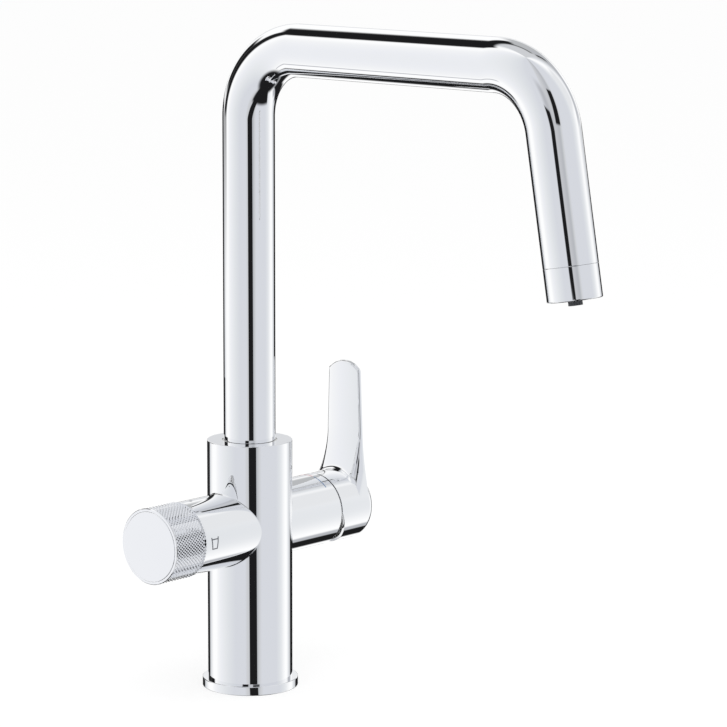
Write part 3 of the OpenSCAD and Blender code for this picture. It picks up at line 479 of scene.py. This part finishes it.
def inner_finishes():
    """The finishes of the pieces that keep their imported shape, by their material slot's name."""
    tints = bpy.context.scene.tap_colours
    return {
        "chrome": chrome(),
        "steel": finish("Brushed steel", tints.steel, 1.0, 0.28, 0.2, 900, 0.3, 0.2,
                        stretch=(1, 1, 0.1)),
        "brass": finish("Turned brass", tints.brass, 1.0, 0.24, 0.2, 700, 0.3, 0.25,
                        stretch=(1, 1, 6)),
        "rubber": finish("Black rubber", tints.rubber, 0.0, 0.62, 0.2, 1500, 0.8, 0.5),
        "light_plastic": finish("Pale plastic", tints.light_plastic, 0.0, 0.38, 0.1, 800, 0.3,
                                0.06),
        "dark_plastic": finish("Dark plastic", tints.dark_plastic, 0.0, 0.42, 0.15, 900, 0.4, 0.3),
        "ceramic": finish("Ground ceramic", tints.ceramic, 0.0, 0.22, 0.1, 2000, 0.2, 0.05),
        "blue_enamel": finish("Blue enamel", tints.cold, 0.0, 0.25, 0.1, 600, 0.1, 0.1, coat=0.5),
        "red_enamel": finish("Red enamel", tints.hot, 0.0, 0.25, 0.1, 600, 0.1, 0.1, coat=0.5),
        "dark_enamel": finish("Grey enamel", tints.print, 0.0, 0.35, 0.1, 600, 0.1, 0.1, coat=0.2),
    }


# Pieces

class TAP_OT_base(bpy.types.Operator):
    """Makes the flange ring that stands on the deck"""

    bl_idname = "tap.base"
    bl_label = "Base"

    def execute(self, context):
        sizes = context.scene.tap_body
        low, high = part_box("base_ring")
        bore = BODY_R - SPIGOT_STEP + FIT
        bm = bmesh.new()
        turned(bm, [(bore, low.z), (high.x, low.z), (high.x, high.z), (bore, high.z)], UPRIGHT,
               {1: (sizes.flange_round, 4), 2: (sizes.flange_round, 4)})
        piece("flange_ring", bm, "base", [chrome()], ["base_ring"])
        return {"FINISHED"}


class TAP_OT_body(bpy.types.Operator):
    """Makes the upright body with the lever's sleeve and the knob's collar"""

    bl_idname = "tap.body"
    bl_label = "Body"

    def execute(self, context):
        sizes = context.scene.tap_body
        bm = bmesh.new()
        foot_z, top_z = FLANGE_HIGH.z, BODY_HIGH.z
        spigot_r = BODY_R - SPIGOT_STEP
        socket_r = sizes.mouth_r - SOCKET_STEP
        seat_z, socket_z = top_z - SEAT_DEPTH, top_z - SOCKET_DEPTH
        turned(bm, [(0, 0), (spigot_r, 0), (spigot_r, foot_z), (BODY_R, foot_z), (BODY_R, top_z),
                    (sizes.mouth_r, top_z), (sizes.mouth_r, seat_z), (socket_r, seat_z),
                    (socket_r, socket_z), (0, socket_z)],
               UPRIGHT, {4: (sizes.top_round, 3), 5: (sizes.top_round / 2, 2)})
        self.underside(bm)
        self.side(bm, sizes, 1, BODY_HIGH.x, LEVER_BORES)
        self.side(bm, sizes, -1, -BODY_LOW.x, KNOB_BORES)
        mouth_r = sizes.mouth_r + 0.05 * MM
        bore_r = sizes.side_r - 1.5 * MM

        # The faces inside the spout's mouth and the sleeves' bores take the dark bare metal, whose
        # near-black colour is painted shade in these recesses.
        def bored_and_shaded(spot):
            in_mouth = socket_z - 1 * MM < spot.z < top_z - 0.2 * MM
            in_side = abs(spot.x) > BODY_R + 1 * MM
            return ((in_mouth and math.hypot(spot.x, spot.y) < mouth_r)
                    or (in_side and off_axis(spot) < bore_r))

        give_second_finish(bm, bored_and_shaded)
        piece("body_shell", bm, "base", [chrome(), bare()], ["body"])
        return {"FINISHED"}

    def underside(self, bm):
        """Cuts the threaded holes for the stud and the hoses into the body's foot."""
        foot = [f for f in bm.faces if max(abs(v.co.z) for v in f.verts) < MERGE]
        bmesh.ops.delete(bm, geom=foot, context="FACES")
        rims = [e for e in bm.edges if e.is_boundary]
        for x, y, radius, depth in ([MM * size for size in hole] for hole in HOLES):
            turns = round(depth / THREAD_PITCH)

            def ring(step):
                r, z = radius - THREAD_DEPTH * (step % 2), depth * step / (2 * turns)
                return lambda turn: Vector((x + r * math.cos(turn), y + r * math.sin(turn), z))

            rings = [ring(step) for step in range(2 * turns + 1)]
            first, last = wall(bm, rings, steps=THREAD_STEPS)
            bmesh.ops.edgenet_fill(bm, edges=last)
            rims += first
        bmesh.ops.triangle_fill(bm, use_beauty=True, edges=rims)

    def side(self, bm, sizes, way, end, bores):
        """Draws a sleeve from its fillet on the body to its end, and the steps of its bore.
        bores gives the (radius, depth) of each step in millimetres."""
        seam, edge, r = sizes.seam_round, sizes.end_round, sizes.side_r

        def fillet(share):
            """The ring at a share of the fillet, from the body to the sleeve."""
            def point(turn):
                across = (r + seam) * math.sin(turn)
                centre = Vector((math.sqrt((BODY_R + seam) ** 2 - across ** 2), across,
                                 (r + seam) * math.cos(turn)))
                to_body = Vector((-centre.x, -centre.y, 0)).normalized()
                to_side = Vector((0, -centre.y, -centre.z)).normalized()
                spot = centre + seam * to_body.slerp(to_side, share)
                return Vector((way * spot.x, spot.y, SIDE_Z + spot.z))
            return point

        def sunk(turn):
            """The start of the wall, a little inside the body."""
            spot = fillet(0)(turn)
            inwards = 0.985
            return Vector((spot.x * inwards, spot.y * inwards, spot.z))

        def ring(radius, x):
            return lambda turn: on_side(radius, way * x, turn)

        rings = [sunk] + [fillet(step / FILLET_STEPS) for step in range(FILLET_STEPS + 1)]
        swings = [math.pi / 2 * step / EDGE_STEPS for step in range(EDGE_STEPS + 1)]
        rings += [ring(r - edge + edge * math.cos(swing), end - edge + edge * math.sin(swing))
                  for swing in swings]
        depth = 0
        for radius, step in bores:
            rings += [ring(radius * MM, end - depth * MM), ring(radius * MM, end - step * MM)]
            depth = step
        _, last = wall(bm, rings)
        bmesh.ops.edgenet_fill(bm, edges=last)


class TAP_OT_spout(bpy.types.Operator):
    """Makes the spout tube and the outlet sleeve"""

    bl_idname = "tap.spout"
    bl_label = "Spout"

    def execute(self, context):
        sizes = context.scene.tap_spout
        self.tube(sizes)
        self.sleeve(sizes)
        return {"FINISHED"}

    def tube(self, sizes):
        """Draws the tube by extruding and turning a ring along the spout."""
        bm = bmesh.new()
        ring = bmesh.ops.create_circle(bm, segments=RING_STEPS, radius=sizes.tube_r)["verts"]
        bmesh.ops.translate(bm, verts=ring, vec=(0, 0, TUBE_LOW.z))
        edges = list(bm.edges)
        arm_z = TUBE_HIGH.z - sizes.tube_r
        bend_z = arm_z - sizes.bend_r
        turn = math.pi / 2 - sizes.lean
        tangent = sizes.bend_r * math.tan(turn / 2)
        way = Vector((0, -math.sin(sizes.lean), -math.cos(sizes.lean)))

        def run(edges, vec):
            verts, edges = grown(bm, edges)
            bmesh.ops.translate(bm, vec=vec, verts=verts)
            return edges

        def bend(edges, y, turn):
            made = bmesh.ops.spin(bm, geom=edges, cent=(0, y, bend_z), axis=(1, 0, 0),
                                  dvec=(0, 0, 0), angle=turn, steps=BEND_STEPS, use_merge=False,
                                  use_duplicate=False)
            return [part for part in made["geom_last"] if isinstance(part, bmesh.types.BMEdge)]

        edges = run(edges, (0, 0, bend_z - TUBE_LOW.z))
        edges = bend(edges, -sizes.bend_r, math.pi / 2)
        edges = run(edges, (0, tangent + sizes.bend_r - sizes.reach, 0))
        edges = bend(edges, tangent - sizes.reach, turn)
        run(edges, (sizes.leg - tangent) * way)
        bmesh.ops.recalc_face_normals(bm, faces=bm.faces)
        bmesh.ops.solidify(bm, geom=bm.faces[:], thickness=sizes.wall)
        rims = [e for e in bm.edges
                if len(e.link_faces) == 2 and e.calc_face_angle() > SHARP_ANGLE]
        bmesh.ops.bevel(bm, geom=rims, offset=sizes.groove, offset_type="OFFSET", segments=2,
                        profile=0.5, affect="EDGES", material=-1)
        piece("spout_shell", bm, "spout", [chrome()], ["spout_tube"])

    def sleeve(self, sizes):
        """Draws the outlet sleeve below the joint line."""
        bm = bmesh.new()
        r, end = sizes.tube_r, sizes.sleeve
        bore, neck, grip, seat = r - 2.5 * MM, r - 4.2 * MM, 8 * MM, 3.6 * MM
        inner = r - sizes.wall - FIT
        turned(bm, [(neck, -grip), (inner, -grip), (inner, 0), (r, 0), (r, end), (bore, end),
                    (bore, seat), (neck, seat)],
               on_leg(sizes, sizes.leg),
               {3: (sizes.groove, 2), 4: (sizes.sleeve_round, 5), 5: (0.2 * MM, 2)})
        piece("outlet_shell", bm, "spout", [chrome()], ["outlet_sleeve"])


class TAP_OT_knob(bpy.types.Operator):
    """Makes the knurled knob and its bright disc"""

    bl_idname = "tap.knob"
    bl_label = "Knob"

    def execute(self, context):
        sizes = context.scene.tap_knob
        self.grip(sizes)
        self.disc(sizes)
        return {"FINISHED"}

    def grip(self, sizes):
        """Draws the knob with a diamond knurl between two plain rims."""
        bm = bmesh.new()
        radius = KNOB_HIGH.y
        knurl_r = radius - sizes.depth
        face_r = FACE_HIGH.y + FIT
        skirt_r, spindle_r = radius - 1.6 * MM, 9 * MM
        rear, front = -KNOB_HIGH.x, -KNOB_LOW.x
        seat, web = front - 1.8 * MM, front - 6.3 * MM
        rear_edge, front_edge = 0.2 * MM, 0.3 * MM
        low, high = rear + sizes.rear_rim, front - sizes.front_rim
        across = round(TURN * radius / sizes.pitch_round)
        rows = round((high - low) / sizes.pitch)

        def ring(row):
            x = -(low + (high - low) * row / rows)
            return lambda turn: on_side(knurl_r, x, turn)

        first, last = wall(bm, [ring(row) for row in range(rows + 1)], steps=across)
        rim = set(first) | set(last)
        inner = [e for e in bm.edges if e not in rim]
        bmesh.ops.poke(bm, faces=bm.faces[:], offset=0, center_mode="MEAN")
        bmesh.ops.dissolve_edges(bm, edges=inner, use_verts=False)
        diamonds = [f for f in bm.faces if len(f.verts) == 4]
        bmesh.ops.poke(bm, faces=diamonds, offset=sizes.depth, center_mode="MEAN")
        self.rim(bm, last, [(radius, high), (radius, front - front_edge),
                            (radius - front_edge, front), (face_r, front), (face_r, seat),
                            (spindle_r, seat)])
        self.rim(bm, first, [(radius, low), (radius, rear + rear_edge),
                             (radius - rear_edge, rear), (skirt_r, rear), (skirt_r, web),
                             (spindle_r, web)])
        # The knob's rear face and its insides take the dark bare metal, whose near-black colour is
        # painted shade between the knob and the collar.
        bare_shade_r, bare_shade_x = knurl_r - 0.05 * MM, 1 * MM - front
        give_second_finish(bm, lambda spot: off_axis(spot) < bare_shade_r and spot.x > bare_shade_x)
        piece("knob_grip", bm, "filter_knob", [chrome(), bare()], ["knob"], KNURL_ANGLE)

    def rim(self, bm, edges, rings):
        """Draws plain rings on from a ring of edges and closes them. Each is (radius, distance)."""
        for radius, x in rings:
            verts, edges = grown(bm, edges)
            for vert in verts:
                out = Vector((0, vert.co.y, vert.co.z - SIDE_Z)).normalized() * radius
                vert.co = Vector((-x, out.y, SIDE_Z + out.z))
        bmesh.ops.edgenet_fill(bm, edges=edges)

    def disc(self, sizes):
        """Draws the bright disc in the knob's face."""
        bm = bmesh.new()
        seat, front, r = -FACE_HIGH.x, -FACE_LOW.x, FACE_HIGH.y
        turned(bm, [(0, seat), (r, seat), (r, front), (0, front)], KNOB_SIDE,
               {2: (sizes.edge_round, 4)})
        piece("knob_disc", bm, "filter_knob", [chrome()], ["knob_face"])


class TAP_OT_lever(bpy.types.Operator):
    """Makes the mixer lever: its cap and its blade"""

    bl_idname = "tap.lever"
    bl_label = "Lever"

    def execute(self, context):
        sizes = context.scene.tap_lever
        side_r = context.scene.tap_body.side_r
        bm = bmesh.new()
        self.cap(bm, sizes, side_r)
        self.blade(bm, sizes, side_r)
        satin_r, satin_x = side_r - 0.9 * MM, LEVER_HIGH.x - 4.5 * MM
        give_second_finish(bm, lambda spot: off_axis(spot) < satin_r and spot.x < satin_x)
        piece("lever_handle", bm, "lever", [chrome(), satin()], ["lever"])
        return {"FINISHED"}

    def cap(self, bm, sizes, r):
        """Draws the hollow cap with its cut-back rim."""
        rim, face = LEVER_LOW.x + 0.3 * MM, LEVER_HIGH.x
        inner_r, floor = r - sizes.wall, face - 5 * MM
        spun = turned(bm, [(0, floor), (inner_r, floor), (inner_r, rim), (r, rim), (r, face),
                           (0, face)], LEVER_SIDE, {3: (0.2 * MM, 2), 4: (sizes.face_round, 10)})
        for vert in spun:
            below = max(0, SIDE_Z - vert.co.z)
            if vert.co.x < rim + 1 * MM:
                vert.co.x += sizes.cut * below / r

    def blade(self, bm, sizes, r):
        """Draws the blade through closed rings, from inside the cap up to the arc along its top."""
        face = LEVER_HIGH.x - 0.02 * MM
        top = LEVER_HIGH.z - SIDE_Z
        flare_y = sizes.foot_w + sizes.flare_r
        flare_z = math.sqrt((r + sizes.flare_r) ** 2 - flare_y ** 2)
        touch_z = flare_z * r / (r + sizes.flare_r)
        corner_z = top - sizes.top_arc
        arc_r = (sizes.top_w ** 2 + sizes.top_arc ** 2) / (2 * sizes.top_arc)
        sunk_r = r - 0.4 * MM
        rounded = 0.8
        across, around, rows, crest_steps = 44, 14, 70, 6
        steps = 2 * (across + around)

        def half_width(z):
            if z < flare_z:
                return flare_y - math.sqrt(sizes.flare_r ** 2 - (flare_z - z) ** 2)
            share = (z - flare_z) / (corner_z - flare_z)
            return sizes.foot_w + (sizes.top_w - sizes.foot_w) * min(share, 1)

        def crown(z):
            """How far the crown of the inner face is drawn out across the flare."""
            return min(sizes.foot_w / half_width(z), 1)

        def inner_x(y, z):
            drop = max(sizes.hollow_h - z, 0)
            y *= crown(z)
            return (face - sizes.thickness + sizes.inner_r - math.sqrt(sizes.inner_r ** 2 - y ** 2)
                    - sizes.hollow_r + math.sqrt(sizes.hollow_r ** 2 - drop ** 2))

        def outer_x(y, z):
            drop = sizes.outer_r - math.sqrt(sizes.outer_r ** 2 - y ** 2)
            return face - sizes.lean * z / top - drop

        def round_at(z):
            """The rounding of the blade's side, which grows from its edge's down to the foot's."""
            share = min(max((sizes.hollow_h - z) / (sizes.hollow_h - r), 0), 1)
            wanted = sizes.side_round * share ** 2 * (3 - 2 * share) + sizes.edge_round
            room = outer_x(half_width(z), z) - inner_x(half_width(z), z)
            return min(wanted, 0.9 * room)

        def border_y(z):
            """Half the width of the inner face, up to where the rounding of the side begins."""
            rounding = round_at(z)
            return (half_width(z) - rounding) / (1 - rounding * crown(z) ** 2 / sizes.inner_r)

        def side_point(share, z):
            """A point of the blade's side, from the inner face's border to the outer face."""
            rounding, y = round_at(z), border_y(z)
            start = math.asin(y * crown(z) ** 2 / sizes.inner_r)
            swing = start + (math.pi / 2 - start) * min(share / rounded, 1)
            x = inner_x(y, z) + rounding * (math.cos(start) - math.cos(swing))
            if share > rounded:
                x += (outer_x(half_width(z), z) - x) * (share - rounded) / (1 - rounded)
            return x, half_width(z) - rounding * (1 - math.sin(swing))

        def foot_z(place):
            """Where a line of the blade sinks into the cap. place gives its (x, y) at a height."""
            z = r
            for _ in range(30):
                y = place(max(z, touch_z))[1]
                z = (z + math.sqrt(max(sunk_r ** 2 - y ** 2, 0))) / 2
            return max(z, touch_z)

        def crest_z(y):
            return top - arc_r + math.sqrt(arc_r ** 2 - min(y, sizes.top_w) ** 2)

        def line(step):
            """The (place by height, foot, crest, share of the width) of an upright line."""
            half, part = divmod(step, across + around)
            way = 1 - 2 * half
            if part < across:
                share = way * math.sin((part / across - 0.5) * math.pi)
                crest = crest_z(abs(share) * sizes.top_w)
                if way > 0:
                    def place(z):
                        y = share * border_y(z)
                        return inner_x(y, z), y
                    return place, foot_z(place), crest, share

                def place(z):
                    y = share * half_width(z)
                    return outer_x(y, z), y
                return place, touch_z, crest, share
            share = (part - across) / around
            if way < 0:
                share = 1 - share

            def place(z):
                x, y = side_point(share, z)
                return x, way * y
            return place, foot_z(place), corner_z, way

        lines = [line(step) for step in range(steps)]

        def ring(share):
            """A ring part of the way up the blade. Rings are close near the foot's fillet."""
            rise = share ** 1.5

            def point(turn):
                place, foot, crest, _ = lines[round(turn / TURN * steps) % steps]
                z = foot + (crest - sizes.edge_round - foot) * rise
                x, y = place(z)
                cap_z = math.sqrt(max(r ** 2 - y ** 2, 0))
                fillet = (cap_z + sizes.seam_round - z) / sizes.seam_round
                if x < inner_x(0, z) + 1.5 * MM and fillet > 0:
                    x -= sizes.seam_round * (1 - math.sqrt(1 - min(fillet, 1) ** 2))
                return Vector((x, y, SIDE_Z + z))
            return point

        def crest_ring(step):
            """Rounds the edge along the blade's top. The last step closes it."""
            swing = math.pi / 2 * step / crest_steps

            def point(turn):
                place, _, crest, share = lines[round(turn / TURN * steps) % steps]
                side = Vector(place(crest))
                middle = share * (sizes.top_w - 1.6 * sizes.edge_round)
                seam = Vector(((inner_x(middle, crest) + outer_x(middle, crest)) / 2, middle))
                gap = (seam - side).length
                inset = min(sizes.edge_round, 0.8 * gap) * (1 - math.cos(swing)) / gap
                x, y = side.lerp(seam, inset if step < crest_steps else 1)
                drop = sizes.edge_round * (1 - math.sin(swing))
                return Vector((x, y, SIDE_Z + crest - drop))
            return point

        rings = [ring(row / rows) for row in range(rows + 1)]
        rings += [crest_ring(step) for step in range(1, crest_steps + 1)]
        wall(bm, rings, steps=steps)
        bmesh.ops.remove_doubles(bm, verts=bm.verts, dist=0.003 * MM)


class TAP_OT_dome(bpy.types.Operator):
    """Makes the dome under the lever's cap"""

    bl_idname = "tap.dome"
    bl_label = "Dome"

    def execute(self, context):
        low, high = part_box("lever_dome")
        r, wall_t = high.y, 1.2 * MM
        centre = low.x - 0.4 * MM
        angles = [math.asin((low.x - centre) / r), math.asin((high.x - centre) / r)]
        shares = [step / DOME_STEPS for step in range(DOME_STEPS + 1)]
        outer = [(r * math.cos(a), centre + r * math.sin(a))
                 for a in (angles[0] + (angles[1] - angles[0]) * s for s in shares)]
        inner = [(radius * (r - wall_t) / r, height) for radius, height in reversed(outer)]
        bm = bmesh.new()
        turned(bm, outer + inner, LEVER_SIDE)
        piece("dome_shell", bm, "base", [satin()], ["lever_dome"])
        return {"FINISHED"}


class TAP_OT_inner(bpy.types.Operator):
    """Gives the inner pieces, the nozzle, the screen and the marks their finishes"""

    bl_idname = "tap.inner"
    bl_label = "Inner pieces"

    def execute(self, context):
        finishes = inner_finishes()
        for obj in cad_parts.values():
            for slot in obj.material_slots:
                slot.material = finishes[slot.material.name.split(".")[0]]
        return {"FINISHED"}


def staged(name, bm, material):
    """Finishes a mesh as a piece of the studio."""
    mesh = bpy.data.meshes.new(name)
    bm.to_mesh(mesh)
    bm.free()
    mesh.materials.append(material)
    obj = bpy.data.objects.new(name, mesh)
    bpy.context.scene.collection.objects.link(obj)
    return obj


class TAP_OT_stage(bpy.types.Operator):
    """Makes the floor, the light and the camera"""

    bl_idname = "tap.stage"
    bl_label = "Studio"

    def execute(self, context):
        stage = context.scene.tap_stage
        self.floor(stage)
        self.flag()
        self.surroundings(context.scene)
        self.lamp(context.scene)
        self.camera(context.scene, stage)
        context.scene.view_settings.view_transform = "Standard"
        return {"FINISHED"}

    def floor(self, stage):
        """A pale floor that shows the object's shadow and stays out of its reflections."""
        bm = bmesh.new()
        bmesh.ops.create_grid(bm, x_segments=1, y_segments=1, size=6)
        made = bpy.data.materials.new("Pale floor")
        made.use_nodes = True
        tree = made.node_tree
        tree.nodes.clear()
        matt = node(tree, "ShaderNodeBsdfDiffuse", 0, 0, {"Color": (*stage.floor, 1)})
        glow = node(tree, "ShaderNodeEmission", 0, -200)
        shown = node(tree, "ShaderNodeMixShader", 300, 0,
                     {"Fac": 0.72, 1: matt.outputs[0], 2: glow.outputs[0]})
        clear = node(tree, "ShaderNodeBsdfTransparent", 300, -300)
        path = node(tree, "ShaderNodeLightPath", 300, 300)
        final = node(tree, "ShaderNodeMixShader", 600, 0,
                     {"Fac": path.outputs["Is Glossy Ray"], 1: shown.outputs[0],
                      2: clear.outputs[0]})
        node(tree, "ShaderNodeOutputMaterial", 900, 0, {"Surface": final.outputs[0]})
        staged("floor", bm, made)

    def flag(self):
        """A black flag behind the lever, which only reflections show."""
        width, low, high, back = 115 * MM, 20 * MM, 128 * MM, 250 * MM
        bm = bmesh.new()
        bm.faces.new([bm.verts.new((x, back, z))
                      for x, z in [(0, low), (width, low), (width, high), (0, high)]])
        made = bpy.data.materials.new("Black flag")
        made.use_nodes = True
        shader = made.node_tree.nodes["Principled BSDF"]
        shader.inputs["Base Color"].default_value = (*BLACK, 1)
        shader.inputs["Roughness"].default_value = 1
        obj = staged("flag", bm, made)
        for kind in ("camera", "diffuse", "shadow", "transmission"):
            setattr(obj, "visible_" + kind, False)

    def surroundings(self, scene):
        """A pale room with dark cards, which only reflections show. All else sees plain white."""
        world = bpy.data.worlds.new("Studio")
        scene.world = world
        world.use_nodes = True
        tree = world.node_tree
        tree.nodes.clear()
        place = node(tree, "ShaderNodeTexCoord", -1300, 0)
        turn = node(tree, "ShaderNodeVectorRotate", -1100, 0,
                    {"Vector": place.outputs["Generated"], "Angle": scene.tap_stage.camera_yaw},
                    rotation_type="Z_AXIS")
        right, back, up = node(tree, "ShaderNodeSeparateXYZ", -900, 0, {0: turn.outputs[0]}).outputs
        left = math_node(tree, "MULTIPLY", -700, 100, right, -1)
        front = math_node(tree, "MULTIPLY", -700, 0, back, -1)
        around = math_node(tree, "ARCTAN2", -500, 100, front, left)
        around = math_node(tree, "DEGREES", -300, 100, around)
        rise = math_node(tree, "DEGREES", -300, -100, math_node(tree, "ARCSINE", -500, -100, up))
        share = math_node(tree, "MULTIPLY_ADD", -100, 100, around, 1 / 360, 0.5)
        walls = node(tree, "ShaderNodeValToRGB", 100, 100, {"Fac": share})
        self.fill(walls.color_ramp, [(turn / 360 + 0.5, grey) for turn, grey in ROOM_WALLS])
        colour = walls.outputs["Color"]
        x = 400
        for name, grey, *values in ROOM_CARDS:
            card = node(tree, "ShaderNodeGroup", x, -300,
                        {"Around": around, "Rise": rise, **dict(zip(CARD_INPUTS, values))},
                        node_tree=room_card(), label=name)
            mix = node(tree, "ShaderNodeMix", x + 100, 100,
                       {"Factor": card.outputs["Mask"], "A": colour, "B": (*grey, 1)},
                       data_type="RGBA")
            colour = mix.outputs["Result"]
            x += 220
        mirrored = node(tree, "ShaderNodeBackground", x, -100,
                        {"Color": colour, "Strength": ROOM_STRENGTH})
        plain = node(tree, "ShaderNodeBackground", x, 100, {"Color": (*WHITE, 1)})
        path = node(tree, "ShaderNodeLightPath", x, 400)
        final = node(tree, "ShaderNodeMixShader", x + 220, 0,
                     {"Fac": path.outputs["Is Glossy Ray"], 1: plain.outputs[0],
                      2: mirrored.outputs[0]})
        node(tree, "ShaderNodeOutputWorld", x + 440, 0, {"Surface": final.outputs[0]})

    def fill(self, ramp, stops):
        """Gives a colour ramp its stops, each a (place, colour) pair."""
        while len(ramp.elements) > 1:
            ramp.elements.remove(ramp.elements[-1])
        ramp.elements[0].position = stops[0][0]
        for place, _ in stops[1:]:
            ramp.elements.new(place)
        for element, (place, grey) in zip(ramp.elements, stops):
            element.position = place
            element.color = (*grey, 1)

    def lamp(self, scene):
        """One soft lamp above, which gives the shadow on the floor."""
        data = bpy.data.lights.new("Soft box", "AREA")
        data.shape = "DISK"
        data.size = 1.6
        data.energy = 12
        obj = bpy.data.objects.new("Soft box", data)
        obj.location = (-0.5, -0.6, 1.6)
        obj.rotation_euler = (Vector((0, 0, 0)) - obj.location).to_track_quat("-Z", "Y").to_euler()
        obj.visible_glossy = False
        scene.collection.objects.link(obj)

    def camera(self, scene, stage):
        """The camera at the photograph's viewing angle."""
        data = bpy.data.cameras.new("Camera")
        data.sensor_width = 36
        data.lens = stage.camera_focus * data.sensor_width
        data.clip_start = 0.05
        data.clip_end = 50
        obj = bpy.data.objects.new("Camera", data)
        ahead = Vector((math.cos(stage.camera_pitch) * math.sin(stage.camera_yaw),
                        math.cos(stage.camera_pitch) * math.cos(stage.camera_yaw),
                        -math.sin(stage.camera_pitch)))
        obj.matrix_world = (Matrix.Translation(stage.camera_place)
                            @ ahead.to_track_quat("-Z", "Y").to_matrix().to_4x4()
                            @ Matrix.Rotation(stage.camera_roll, 4, "Z"))
        scene.collection.objects.link(obj)
        scene.camera = obj


class TAP_PT_panel(bpy.types.Panel):
    """Lists the steps that build the tap"""

    bl_label = "Mixer Tap"
    bl_idname = "TAP_PT_panel"
    bl_space_type = "VIEW_3D"
    bl_region_type = "UI"
    bl_category = "Mixer Tap"

    def draw(self, context):
        for step in STEPS:
            self.layout.operator(step.bl_idname)


STEPS = [TAP_OT_stage, TAP_OT_base, TAP_OT_body, TAP_OT_spout, TAP_OT_dome, TAP_OT_lever,
         TAP_OT_knob, TAP_OT_inner]
GROUPS = {"tap_body": TapBodySizes, "tap_spout": TapSpoutSizes, "tap_lever": TapLeverSizes,
          "tap_knob": TapKnobSizes, "tap_colours": TapColours, "tap_stage": TapStage}


def register():
    for group in GROUPS.values():
        bpy.utils.register_class(group)
    for name, group in GROUPS.items():
        setattr(bpy.types.Scene, name, bpy.props.PointerProperty(type=group))
    for step in (*STEPS, TAP_PT_panel):
        bpy.utils.register_class(step)


def unregister():
    for step in (TAP_PT_panel, *reversed(STEPS)):
        bpy.utils.unregister_class(step)
    for name, group in GROUPS.items():
        delattr(bpy.types.Scene, name)
        bpy.utils.unregister_class(group)


def main():
    """Builds the tap."""
    register()
    for step in STEPS:
        module, name = step.bl_idname.split(".")
        getattr(getattr(bpy.ops, module), name)()


if __name__ == "__main__":
    main()
